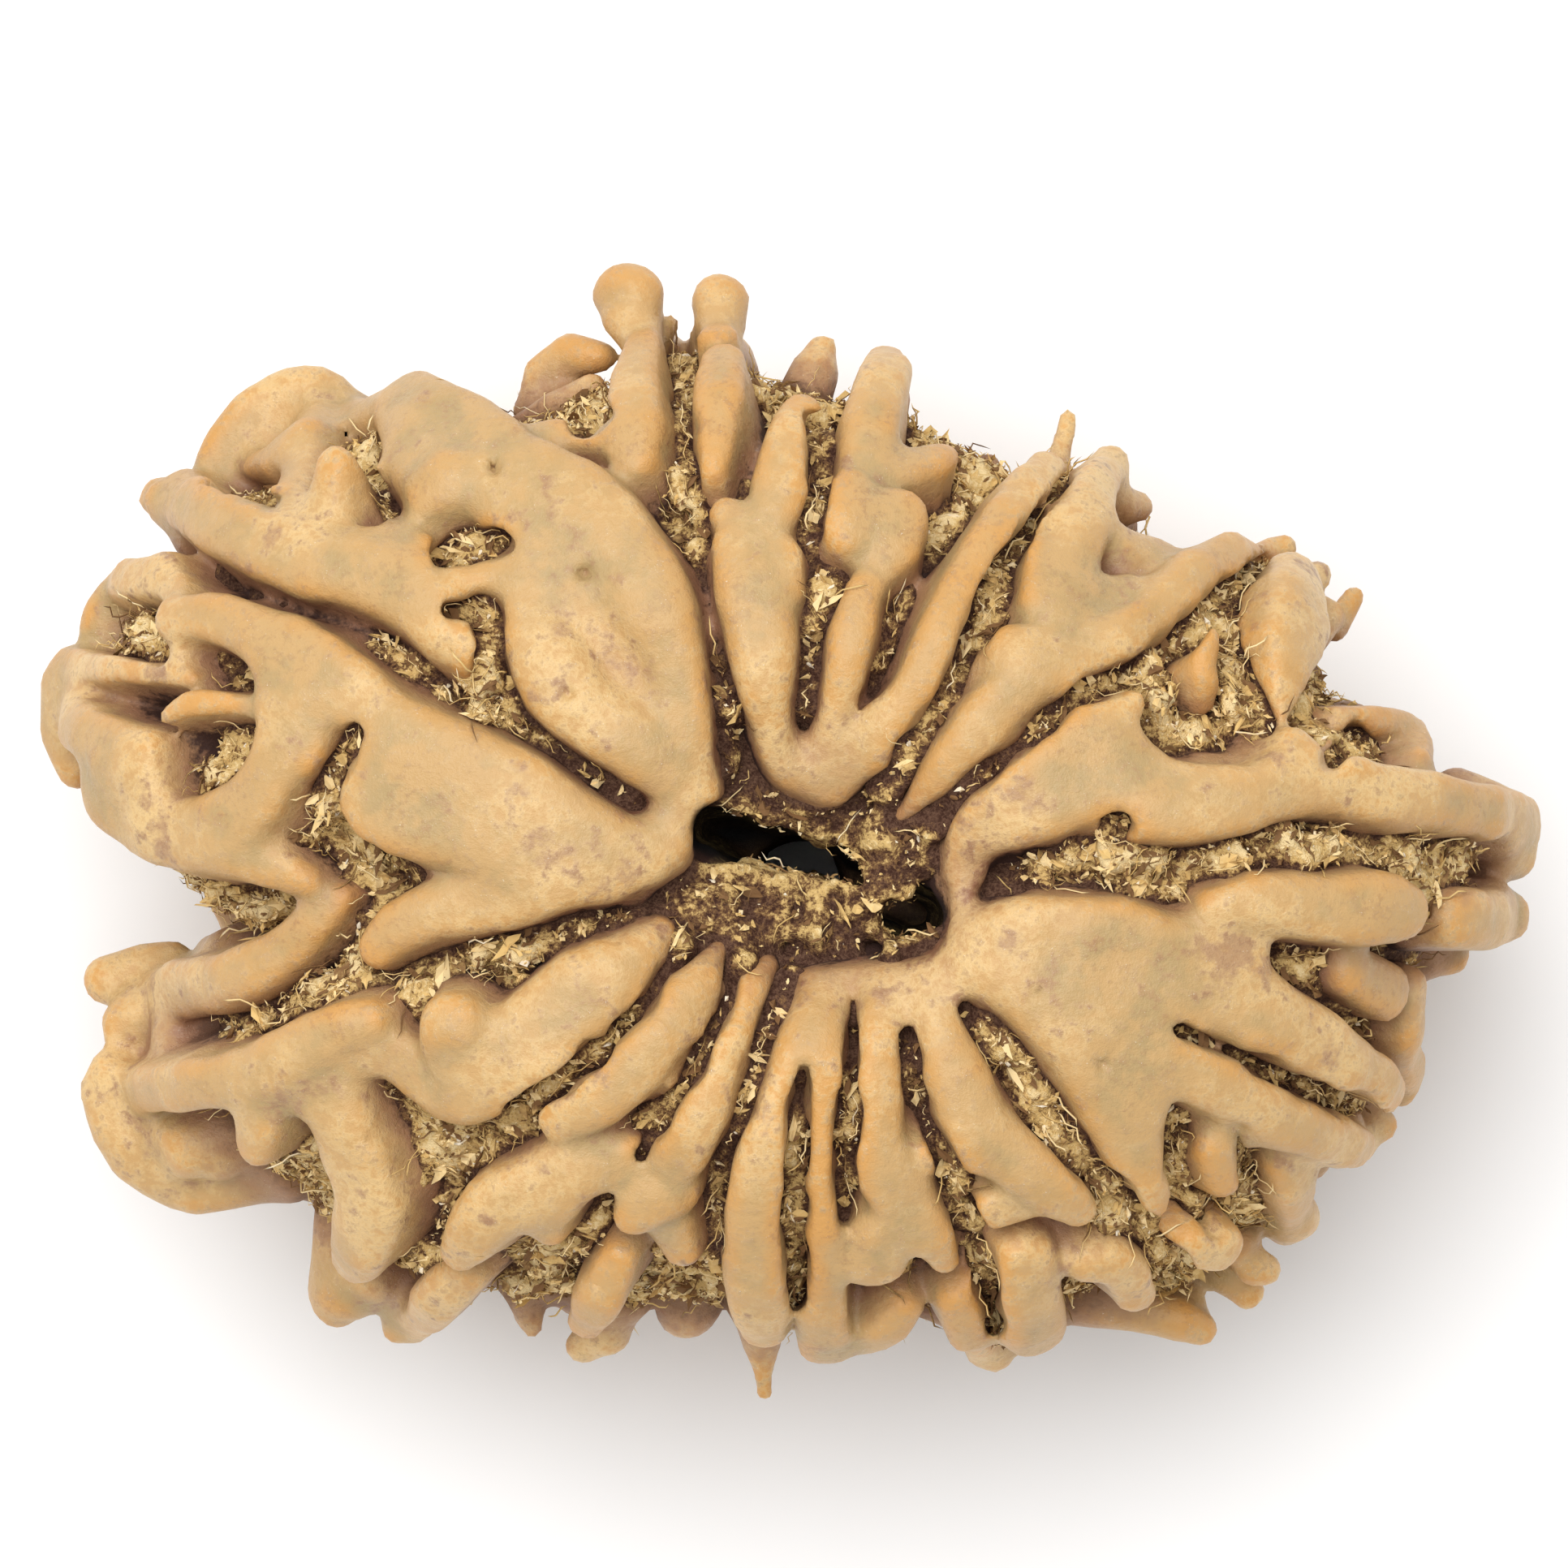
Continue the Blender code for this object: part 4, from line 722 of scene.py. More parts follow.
def skin(lattice, distance, inside):
    """The surface of zero distance: one point in each cube that it crosses, at the mean of
    its crossings with the cube's edges, and a four-sided face round each crossed edge."""
    distance = np.where(inside, np.minimum(distance, -0.3), np.maximum(distance, 0.3))
    cubes = tuple(count - 1 for count in distance.shape)
    total, count, crossings = np.zeros(cubes + (3,), np.float32), np.zeros(cubes, np.int8), []
    for axis in range(3):
        first, second = [other for other in range(3) if other != axis]
        start = np.moveaxis(np.moveaxis(distance, axis, 0)[:-1], 0, axis)
        end = np.moveaxis(np.moveaxis(distance, axis, 0)[1:], 0, axis)
        crossed = (start < 0) != (end < 0)
        share = np.where(crossed, start / np.where(crossed, start - end, 1), 0)
        crossings.append((axis, crossed, start < 0))
        for i in (0, 1):
            for j in (0, 1):
                cut = [slice(None)] * 3
                cut[first] = slice(i, i + cubes[first])
                cut[second] = slice(j, j + cubes[second])
                hit = crossed[tuple(cut)]
                count += hit
                total[..., axis] += share[tuple(cut)]
                total[..., first] += hit * i
                total[..., second] += hit * j
    used = count > 0
    number = np.full(cubes, -1)
    number[used] = np.arange(used.sum())
    corners = np.stack(np.nonzero(used), 1)
    points = lattice.low + (corners + total[used] / count[used][:, None]) * lattice.spacing
    faces = []
    for axis, crossed, solid_first in crossings:
        place = np.moveaxis(number, axis, 0)
        edges = np.moveaxis(crossed, axis, 0)[:, 1:-1, 1:-1]
        a, b, c = np.nonzero(edges)
        face = np.stack(
            [place[a, b, c], place[a, b + 1, c], place[a, b + 1, c + 1], place[a, b, c + 1]], 1
        )
        solid = np.moveaxis(solid_first, axis, 0)[:, 1:-1, 1:-1][a, b, c]
        turned = solid == (axis == 1)
        face[turned] = face[turned][:, ::-1]
        faces.append(face)
    return points, np.concatenate(faces)


def meshed(name, points, faces, smooth=True):
    """A mesh object. All its faces have the same number of sides."""
    mesh = bpy.data.meshes.new(name)
    mesh.vertices.add(len(points))
    mesh.vertices.foreach_set("co", np.asarray(points, np.float32).ravel())
    mesh.loops.add(faces.size)
    mesh.loops.foreach_set("vertex_index", faces.astype(np.int32).ravel())
    mesh.polygons.add(len(faces))
    starts = np.arange(0, faces.size, faces.shape[1], dtype=np.int32)
    mesh.polygons.foreach_set("loop_start", starts)
    mesh.update(calc_edges=True)
    if smooth:
        mesh.shade_smooth()
    else:
        mesh.shade_flat()
    thing = bpy.data.objects.new(name, mesh)
    bpy.context.scene.collection.objects.link(thing)
    return thing


def thinned(thing, triangles):
    """Replaces a mesh by a copy thinned to about this many triangles."""
    thing.data.calc_loop_triangles()
    modifier = thing.modifiers.new("thin", "DECIMATE")
    modifier.ratio = min(triangles / len(thing.data.loop_triangles), 1.0)
    modifier.use_collapse_triangulate = True
    evaluated = thing.evaluated_get(bpy.context.evaluated_depsgraph_get())
    mesh = bpy.data.meshes.new_from_object(evaluated)
    thing.modifiers.clear()
    thing.data = mesh


def places_of(thing):
    """A mesh's vertices as an array."""
    places = np.zeros(len(thing.data.vertices) * 3, np.float32)
    thing.data.vertices.foreach_get("co", places)
    return places.reshape(-1, 3)


def marked(thing, name, values):
    """Gives each vertex a number that the material can read by this name."""
    attribute = thing.data.attributes.new(name, "FLOAT", "POINT")
    attribute.data.foreach_set("value", np.asarray(values, np.float32))


def spread(values, reach):
    """Each place's mean over the places within this reach of it along each axis."""
    for axis in range(3):
        line = np.moveaxis(values, axis, 0)
        line = np.concatenate([line[:1]] * (reach + 1) + [line] + [line[-1:]] * reach)
        sums = np.cumsum(line, 0, dtype=np.float64)
        means = (sums[2 * reach + 1:] - sums[:-2 * reach - 1]) / (2 * reach + 1)
        values = np.moveaxis(means, 0, axis).astype(np.float32)
    return values


lattice = Lattice(BOX_LOW, BOX_HIGH, LATTICE)
_, up, height = lattice.whole()
core = core_distance(lattice)
ribs = ribs_distance(lattice)
hole = hole_distance(lattice) + HOLE_ROUGHNESS * lattice.waves(34, 12)

# Stouter ribs narrow the furrows between them. Then the narrow furrows and the pits are cut.
stouter = STOUTER_BELOW * np.clip((-up - 120) / 120, 0, 1)
stouter = stouter + STOUTER_ABOVE * np.clip((up - 150) / 120, 0, 1)
ribs = ribs - stouter * np.clip((height - 110) / 140, 0, 1)
furrows = flat_distance(lattice, FURROWS)
furrow_floor = np.maximum(FURROW_FLOOR - core, FURROW_LEVEL - height)
cut = np.maximum(furrows + FURROW_ROUGHNESS * lattice.waves(30, 9), furrow_floor)
ribs = -joined(-ribs, cut, FURROW_BLEND)
pits = np.maximum(flat_distance(lattice, PITS), PIT_LEVEL - height)
pit_floor = np.minimum(ribs + PIT_DEPTH - 2 * pits, PIT_DEPTH / 2)
ribs = np.where(pits < PIT_EDGE, np.maximum(ribs, pit_floor), ribs)

# The furrow floors are rough with fibre stubs, and the ribs swell and sink a little.
floor_share = np.clip(1 - core / STUBS_REACH, 0, 1)
stone = -joined(-joined(ribs, core, ROOT_BLEND), hole, HOLE_BLEND)
stone += (1 - floor_share) * (SWELL * lattice.waves(95, 1) + RIPPLE * lattice.waves(42, 2))
stone += floor_share * STUBS * lattice.waves(38, 3)
stone = np.maximum(stone, SEAT_LEVEL - height)
inside = one_body(without_pinches(stone < 0))
ground, faces = skin(lattice, stone, inside)
bead = meshed("stone", ground, faces)
thinned(bead, TRIANGLES)
bead_places = places_of(bead)

# How solid the wood is round each place: little at a sharp crest, much down in a furrow.
near_solid = spread(inside.astype(np.float32), round(26 / lattice.spacing))
far_solid = spread(inside.astype(np.float32), round(70 / lattice.spacing))
marked(bead, "lift", lattice.sampled(core, bead_places) / 110)
marked(bead, "gap", lattice.sampled(ribs, bead_places) / 100)
marked(bead, "crest", 1 - 2 * lattice.sampled(near_solid, bead_places))
marked(bead, "depth", 2 * lattice.sampled(far_solid, bead_places) - 1)
marked(bead, "mouth", lattice.sampled(hole, bead_places) / 100)
marked(bead, "level", bead_places[:, 2] / CORE_HALF_HEIGHT)

# The finer bead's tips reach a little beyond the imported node's box. Both are centred on each
# other, and what lies in the outer sixth of the box is pressed inwards to fit.
node_low, node_high = (np.array(corner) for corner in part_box("bead"))
fine_low, fine_high = bead_places.min(0), bead_places.max(0)
node_middle, fine_middle = (node_low + node_high) / 2, (fine_low + fine_high) / 2
node_reach, fine_reach = (node_high - node_low) / 2 - 2e-6, (fine_high - fine_low) / 2 * STEP


def in_frame(points):
    """Places in steps, turned into the frame's metres: unchanged in size up to 5/6 of the
    reach from the middle, and then by the ratio that brings the tips to the box."""
    away = (np.asarray(points) - fine_middle) * STEP
    firm = np.minimum(fine_reach, node_reach) * 5 / 6
    press = np.minimum((node_reach - firm) / (fine_reach - firm), 1)
    beyond = np.minimum(np.maximum(np.abs(away) - firm, 0) * press, node_reach - firm)
    return node_middle + np.sign(away) * (np.minimum(np.abs(away), firm) + beyond)


bead.data.vertices.foreach_set("co", in_frame(bead_places).astype(np.float32).ravel())
bead.data.update()


class Value:
    """What comes out of a shader socket, for use in formulas."""

    def __init__(self, socket):
        self.socket = socket

    def through(self, kind, *inputs, **settings):
        """The first output of a new node of this kind, with its settings and inputs set."""
        tree = self.socket.id_data
        node = tree.nodes.new(kind)
        for name, setting in settings.items():
            setattr(node, name, setting)
        sockets = [socket for socket in node.inputs if socket.enabled]
        for socket, given in zip(sockets, inputs):
            if isinstance(given, Value):
                tree.links.new(given.socket, socket)
            elif given is not None:
                socket.default_value = given
        return Value(next(socket for socket in node.outputs if socket.enabled))

    def math(self, operation, *inputs):
        return self.through("ShaderNodeMath", *inputs, operation=operation)

    def __add__(self, other):
        return self.math("ADD", self, other)

    def __sub__(self, other):
        return self.math("SUBTRACT", self, other)

    def __rsub__(self, other):
        return self.math("SUBTRACT", other, self)

    def __mul__(self, other):
        return self.math("MULTIPLY", self, other)

    __radd__, __rmul__ = __add__, __mul__

    def ramp(self, low, high):
        """0 below low and 1 above high, eased between; the other way round if high is below."""
        if low > high:
            return 1 - self.ramp(high, low)
        return self.through(
            "ShaderNodeMapRange", self, low, high, 0.0, 1.0, interpolation_type="SMOOTHSTEP"
        )

    def mixed(self, first, second):
        """The first colour where this is 0 and the second where it is 1."""
        return self.through("ShaderNodeMix", self, first, second, data_type="RGBA")

    def scaled(self, factor):
        return self.through("ShaderNodeVectorMath", self, factor, operation="SCALE")

    def noise(self, scale, detail=2.0, rough=0.5):
        """Smooth random values about 0.5, from this place vector times a scale."""
        return self.through("ShaderNodeTexNoise", self, scale, detail, rough)


class Material:
    """A new material, its shader, and the values that its mesh gives at each place."""

    def __init__(self, name):
        self.material = bpy.data.materials.new(name)
        self.material.use_nodes = True
        self.tree = self.material.node_tree
        self.shader = self.tree.nodes["Principled BSDF"]
        object_place = Value(self.tree.nodes.new("ShaderNodeTexCoord").outputs["Object"])
        self.place = object_place.scaled(1000.0)

    def mark(self, name):
        node = self.tree.nodes.new("ShaderNodeAttribute")
        node.attribute_name = name
        return Value(node.outputs["Fac"])

    def set(self, name, given):
        """Sets one of the shader's inputs to a number or a colour, or feeds a value to it."""
        if isinstance(given, Value):
            self.tree.links.new(given.socket, self.shader.inputs[name])
        else:
            self.shader.inputs[name].default_value = given

    def bump(self, height, strength, distance):
        node = self.tree.nodes.new("ShaderNodeBump")
        node.inputs["Strength"].default_value = strength
        node.inputs["Distance"].default_value = distance
        self.tree.links.new(height.socket, node.inputs["Height"])
        self.tree.links.new(node.outputs["Normal"], self.shader.inputs["Normal"])


wood = Material("endocarp")
lift, gap, crest = wood.mark("lift"), wood.mark("gap"), wood.mark("crest")
depth, mouth_share = wood.mark("depth"), wood.mark("mouth")
patches = wood.place.noise(0.30, 3.0)
clouds = wood.place.noise(0.9, 4.0, 0.6)
mottle = wood.place.noise(2.6, 4.0, 0.6)
grit = wood.place.noise(7.0, 4.0, 0.7)
dust = wood.place.noise(24.0, 2.0, 0.6)

TAN = (0.520, 0.325, 0.135, 1.0)
OLIVE_TAN = (0.420, 0.290, 0.130, 1.0)
WARM_TAN = (0.575, 0.335, 0.130, 1.0)
ORANGE_AND_HIGHLIGHT = (0.600, 0.300, 0.080, 1.0)
CREAM = (0.700, 0.490, 0.225, 1.0)
BLUSH_AND_SHADE_BROWN = (0.300, 0.150, 0.088, 1.0)
RED_BROWN = (0.220, 0.090, 0.050, 1.0)
STAIN_AND_SHADE = (0.050, 0.022, 0.016, 1.0)
FLOOR_BROWN = (0.130, 0.075, 0.035, 1.0)
FLOOR_STRAW = (0.480, 0.340, 0.130, 1.0)
PALE_DUST = (0.780, 0.700, 0.560, 1.0)
HOLE_SHADE_BLACK = (0.006, 0.005, 0.005, 1.0)

# Olive tan at random, and more of it in the shallow valleys as painted shade; orange along the
# crests, the wood's own colour with a painted highlight; pinkish brown in random blushes, and as
# painted shade in hollows and down the flanks; and at their feet a dark stain deepened by painted
# shade. Round the waist this dark band is thin.
# Olive tan at random, and more of it in the shallow valleys as painted shade.
skin_tone = (clouds + (mottle - 0.5) * 0.4 - crest * 0.3).ramp(0.36, 0.62).mixed(TAN, OLIVE_TAN)
skin_tone = (patches.ramp(0.42, 0.64) * 0.6).mixed(skin_tone, WARM_TAN)
# Orange at the crests: partly the wood's own colour, partly a painted highlight.
orange_and_highlight_share = (crest * 1.9 + (mottle - 0.5) * 0.7 + (clouds - 0.5) * 0.9).ramp(0.10, 0.85)
skin_tone = (orange_and_highlight_share * 0.85).mixed(skin_tone, ORANGE_AND_HIGHLIGHT)
cream = (mottle * 0.8 + patches * 0.8 + (grit - 0.5) * 0.6).ramp(0.74, 0.98)
skin_tone = (cream * 0.85).mixed(skin_tone, CREAM)
# Pinkish brown in random blushes, a little more in hollows as painted shade.
blush_and_hollow_shade = (clouds * 1.0 + (mottle - 0.5) * 0.9 + (patches - 0.5) * 0.7 + depth * 0.3).ramp(0.50, 0.74)
skin_tone = (blush_and_hollow_shade * 0.62).mixed(skin_tone, BLUSH_AND_SHADE_BROWN)
# Painted shade: pinkish brown down the flanks, darker the lower they reach towards the core.
painted_flank_shade = (lift + (clouds - 0.5) * 0.6 + (mottle - 0.5) * 0.45).ramp(0.92, 0.40)
skin_tone = (painted_flank_shade * 0.72).mixed(skin_tone, BLUSH_AND_SHADE_BROWN)
# Painted shade: pinkish brown in the hollows, by how much wood stands round each place.
hollow = (depth + (clouds - 0.5) * 0.6 + (mottle - 0.5) * 0.6).ramp(0.06, 0.50)
skin_tone = (hollow * 0.55).mixed(skin_tone, BLUSH_AND_SHADE_BROWN)
near_mouth = mouth_share.ramp(2.2, 0.6) * (mottle + clouds).ramp(0.95, 1.25) * lift.ramp(0.95, 0.6)
skin_tone = (near_mouth * 0.7).mixed(skin_tone, RED_BROWN)
skin_tone = ((grit * 0.6 + mottle * 0.5).ramp(0.54, 0.70) * 0.40).mixed(skin_tone, RED_BROWN)
skin_tone = (dust.ramp(0.66, 0.72) * mottle.ramp(0.48, 0.60) * 0.6).mixed(skin_tone, PALE_DUST)
floor_tone = (grit + (clouds - 0.5) * 0.7).ramp(0.44, 0.66).mixed(FLOOR_BROWN, FLOOR_STRAW)
# Dark at the walls' feet: a stain deepened by painted shade, thinner round the waist.
stain_and_shade_share = (lift + (grit - 0.5) * 0.4 + (mottle - 0.5) * 0.5).ramp(0.50, 0.26)
level = wood.mark("level")
stain_and_shade_share = stain_and_shade_share * (level.ramp(0.18, 0.45) * 0.6 + level.ramp(-0.20, -0.50) * 0.4 + 0.4)
tone = stain_and_shade_share.mixed(skin_tone, STAIN_AND_SHADE)
in_gap = gap.ramp(0.06, 0.22) * lift.ramp(0.30, 0.12) * (level.ramp(0.10, 0.40) + 0.2)
tone = (in_gap * 0.9).mixed(tone, floor_tone)
# Painted shade: the wood inside the thread hole is near black.
tone = mouth_share.ramp(0.06, -0.04).mixed(tone, HOLE_SHADE_BLACK)
wood.set("Base Color", tone)
wood.set("Roughness", lift.ramp(0.55, 0.30) * 0.35 + 0.42 + (grit - 0.5) * 0.3)
wood.set("Specular IOR Level", 0.35)
wood.bump(grit * 0.7 + dust * 0.35 + mottle * 1.6, 0.55, 0.00006)
bead.data.materials.clear()
bead.data.materials.append(wood.material)
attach(bead, "root")
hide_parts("bead")


# The bed of dried pulp in the furrows. On the real bead it is what is left of the fruit: a
# crumbly brown mass that fills the furrows to a third or a half, with a torn lid of it over
# the slit. Here it is a shell of its own, skinned on the same lattice from rough noise.
# How high the bed stands over the core above, below and round the waist and in the carved
# furrows, how rough it is, and how far it goes on into the core and the ribs.
PULP_FILL, FILL_SWELL, FILL_ROUGHNESS = 47, 16, 46
LOWER_FILL, WAIST_FILL, WAIST_ROUGHNESS = 30, 9, 24
FURROW_FILL, FURROW_FILL_ROUGHNESS = 62, 34
BED_DEPTH, BED_REACH = 30, 26

# The torn clump beside the slit, its level, and the openings in the lid over the slit.
CLUMP = [(865, 1084, 20), (905, 1084, 26), (950, 1096, 32), (1000, 1120, 30), (1050, 1140, 22)]
CLUMP_LEVEL = 352
OPENINGS = [
    [(858, 1000, 16), (882, 1030, 40), (930, 1036, 33), (985, 1052, 30), (1036, 1072, 22),
     (1066, 1090, 12)],
    [(1108, 1130, 22), (1138, 1122, 34)],
    [(1066, 1163, 10), (1090, 1172, 8)],
]


rough = 0.55 * lattice.waves(46, 6) + 0.45 * lattice.waves(22, 7)
fill = PULP_FILL + FILL_SWELL * lattice.waves(120, 5) + FILL_ROUGHNESS * rough
above, below = np.clip((height - 40) / 200, 0, 1), np.clip((-height - 130) / 150, 0, 1)
waist_fill = WAIST_FILL + WAIST_ROUGHNESS * rough
fill = fill * above + LOWER_FILL * below - 6 + (1 - above - below) * waist_fill
in_furrow = np.maximum(furrows - 14, 60 - height)
in_furrow = np.maximum(core - FURROW_FILL - FURROW_FILL_ROUGHNESS * rough, in_furrow)
clump_distance = np.hypot(flat_distance(lattice, [CLUMP]) + 30, (height - CLUMP_LEVEL) * 0.8) - 30
bed = np.minimum(np.minimum(core - fill, in_furrow), clump_distance + 22 * rough)
bed = np.maximum(bed, -flat_distance(lattice, OPENINGS) - 24 * rough)
bed = np.maximum(np.maximum(bed, -core - BED_DEPTH), -ribs - BED_REACH)
bed = np.maximum(bed, SEAT_LEVEL + 20 - height)
bed_inside = without_pinches(bed < 0)
bed_ground, faces = skin(lattice, bed, bed_inside)
pulp_bed = meshed("pulp_bed", bed_ground, faces)
thinned(pulp_bed, TRIANGLES)
bed_places = places_of(pulp_bed)
crust = np.minimum(stone, bed)
near_solid = spread((crust < 0).astype(np.float32), round(14 / lattice.spacing))
marked(pulp_bed, "crest", 1 - 2 * lattice.sampled(near_solid, bed_places))
marked(pulp_bed, "gap", lattice.sampled(ribs, bed_places) / 100)
marked(pulp_bed, "mouth", lattice.sampled(hole, bed_places) / 100)
marked(pulp_bed, "clump", lattice.sampled(clump_distance, bed_places) / 100)
pulp_bed.data.vertices.foreach_set("co", in_frame(bed_places).astype(np.float32).ravel())
pulp_bed.data.update()

bed_pulp = Material("pulp bed")
crest, gap = bed_pulp.mark("crest"), bed_pulp.mark("gap")
mouth_share = bed_pulp.mark("mouth")
clouds = bed_pulp.place.noise(1.1, 3.0, 0.6)
crumbs = bed_pulp.place.noise(5.0, 4.0, 0.7)
grit = bed_pulp.place.noise(16.0, 3.0, 0.7)
PURPLE_BROWN = (0.052, 0.022, 0.014, 1.0)
MUD_BROWN = (0.150, 0.080, 0.050, 1.0)
BROWN = (0.190, 0.100, 0.042, 1.0)
STRAW = (0.650, 0.440, 0.170, 1.0)
PALE_STRAW = (0.850, 0.660, 0.350, 1.0)
# Paler on the bed's crumbly tops, darker in its creases and along the ribs' walls as painted light and
# shade, on top of the pulp's own mix of tones.
share = (crest * 0.9 + (crumbs - 0.5) * 1.9 + (clouds - 0.5) * 1.0 + (grit - 0.5) * 0.8
         + gap.ramp(0.0, 0.16) * 0.30 + mouth_share.ramp(0.5, 2.4) * 0.52
         + bed_pulp.mark("clump").ramp(0.35, 0.0) - 0.20)
dark_tone = (grit * 0.6 + crumbs * 0.6).ramp(0.48, 0.74).mixed(PURPLE_BROWN, MUD_BROWN)
bed_tone = share.ramp(-0.10, 0.25).mixed(dark_tone, BROWN)
bed_tone = share.ramp(0.15, 0.50).mixed(bed_tone, STRAW)
bed_tone = share.ramp(0.50, 0.95).mixed(bed_tone, PALE_STRAW)
bed_pulp.set("Base Color", bed_tone)
bed_pulp.set("Roughness", 0.8)
bed_pulp.set("Specular IOR Level", 0.12)
bed_pulp.bump(crumbs + grit * 0.6, 0.8, 0.00012)
pulp_bed.data.materials.clear()
pulp_bed.data.materials.append(bed_pulp.material)
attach(pulp_bed, "root")


# The shreds of pulp on the bed. The real ones are torn straw-coloured scraps and crumbs,
# curled and ragged. Here they are thousands of closed thin lenses with uneven outlines, laid
# on the distance field of stone and bed together.
pulp = Material("pulp shreds")
shade = pulp.mark("shade") + (pulp.place.noise(6.0, 3.0, 0.6) - 0.5) * 0.6
pulp_tone = shade.ramp(0.05, 0.45).mixed(BROWN, STRAW)
pulp_tone = shade.ramp(0.45, 0.95).mixed(pulp_tone, PALE_STRAW)
pulp_tone = shade.ramp(1.00, 1.25).mixed(pulp_tone, PALE_DUST)
pulp.set("Base Color", pulp_tone)
pulp.set("Roughness", 0.85)
pulp.set("Specular IOR Level", 0.15)


def outward(points):
    """Which way is out of the crust at points: how its distance grows along each axis."""
    slope = np.stack([lattice.sampled(crust, points + step) - lattice.sampled(crust, points - step)
                      for step in np.eye(3) * 8], 1)
    return slope / np.maximum(np.linalg.norm(slope, axis=1), 1e-6)[:, None]


def settled(points, height):
    """Points moved to a height above the crust: three times by what is missing, outwards."""
    for _ in range(3):
        missing = np.clip(height - lattice.sampled(crust, points), -14, 14)
        points = points + outward(points) * missing[:, None]
    return points


def unit(vectors):
    return vectors / np.maximum(np.linalg.norm(vectors, axis=1), 1e-6)[:, None]


def laid_along(points, out, chance, turn):
    """A direction along the crust for each point: away from the thread hole, turned at random
    by up to about this angle."""
    away = points - (HOLE_PLACE[0] - AXIS_ACROSS, AXIS_DOWN - HOLE_PLACE[1], 0)
    away = unit(away - np.sum(away * out, 1)[:, None] * out)
    angle = chance.normal(0, turn, len(points))[:, None]
    return away * np.cos(angle) + np.cross(out, away) * np.sin(angle)


def kept_in_box(points):
    """Points no further out than the stone's own box."""
    return np.clip(points, fine_low + 3, fine_high - 3)


def scraps(name, points, faces, shades, smooth):
    """A mesh of like scraps, from their points by scrap and corner, the faces of one scrap
    and a shade for each."""
    count, corners, _ = points.shape
    starts = np.arange(count)[:, None, None] * corners
    pieces = meshed(name, in_frame(kept_in_box(points.reshape(-1, 3))),
                    (starts + np.array(faces)).reshape(-1, 3), smooth)
    marked(pieces, "shade", np.repeat(shades, corners))
    pieces.data.materials.append(pulp.material)
    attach(pieces, "root")


SHRED_SIDES = 8


def shreds(name, centres, height, size, shades, chance, thickness=0.14):
    """Lenses with eight outline points, every second one nearer, each curled off the ground
    at random, and a middle point above and below, this share of their size away."""
    centres = settled(centres, height)
    out = outward(centres)
    along = laid_along(centres, out, chance, 0.9)
    out = unit(out + chance.normal(0, 0.40, (len(centres), 3)))
    along = unit(along - np.sum(along * out, 1)[:, None] * out)
    side = np.cross(out, along)
    long = size * chance.uniform(0.8, 2.2, len(centres))
    wide = size * chance.uniform(0.35, 0.9, len(centres))
    thick = size * thickness * chance.uniform(0.5, 1.5, len(centres))
    points = []
    for corner in range(SHRED_SIDES):
        angle = corner * 2 * np.pi / SHRED_SIDES + chance.uniform(-0.3, 0.3, len(centres))
        reach = chance.uniform(0.55, 1.25, len(centres)) * (0.75 if corner % 2 else 1.0)
        curl = chance.normal(0, 0.35, len(centres)) * wide
        points.append(centres + along * (np.cos(angle) * reach * long)[:, None]
                      + side * (np.sin(angle) * reach * wide)[:, None] + out * curl[:, None])
    points.append(centres + out * thick[:, None])
    points.append(centres - out * thick[:, None])
    top, bottom = SHRED_SIDES, SHRED_SIDES + 1
    lens = [(i, (i + 1) % SHRED_SIDES, top) for i in range(SHRED_SIDES)]
    lens += [((i + 1) % SHRED_SIDES, i, bottom) for i in range(SHRED_SIDES)]
    scraps(name, np.stack(points, 1), lens, shades, smooth=False)


def picked(places, count, chance):
    """This many of the places, drawn at random."""
    return places[chance.integers(0, len(places), count)]


# Shreds lie where the bed stands out from the stone. They are scarce round the slit, apart
# from the torn clump.
bare = (lattice.sampled(stone, bed_ground) > 4) & (lattice.sampled(core, bed_ground) > 0)
chance = np.random.default_rng(5)
scarce = (lattice.sampled(hole, bed_ground) < 110) & (lattice.sampled(clump_distance, bed_ground) > 12)
bare &= ~scarce | (chance.random(len(bed_ground)) < 0.25)
upper = bed_ground[bare & (bed_ground[:, 2] > 0)]
lower = bed_ground[bare & (bed_ground[:, 2] <= 0)]
chance = np.random.default_rng(7)
COUNT = 8000
picks = picked(upper, COUNT, chance)
shreds("pulp_shreds", picks, chance.uniform(-2, 8, COUNT),
       2.2 + 11 * chance.random(COUNT) ** 3.2, chance.uniform(-0.3, 0.95, COUNT), chance)
COUNT = 7600
picks = picked(upper, COUNT, chance)
shreds("pulp_crumbs", picks, chance.uniform(-1, 3, COUNT), 1.6 + 4 * chance.random(COUNT) ** 2,
       chance.uniform(-0.4, 1.25, COUNT), chance, 0.7)
COUNT = 6000
picks = picked(lower, COUNT, chance)
shreds("lower_pulp_shreds", picks, chance.uniform(0, 8, COUNT), chance.uniform(3, 10, COUNT),
       chance.uniform(0.0, 0.9, COUNT), chance)


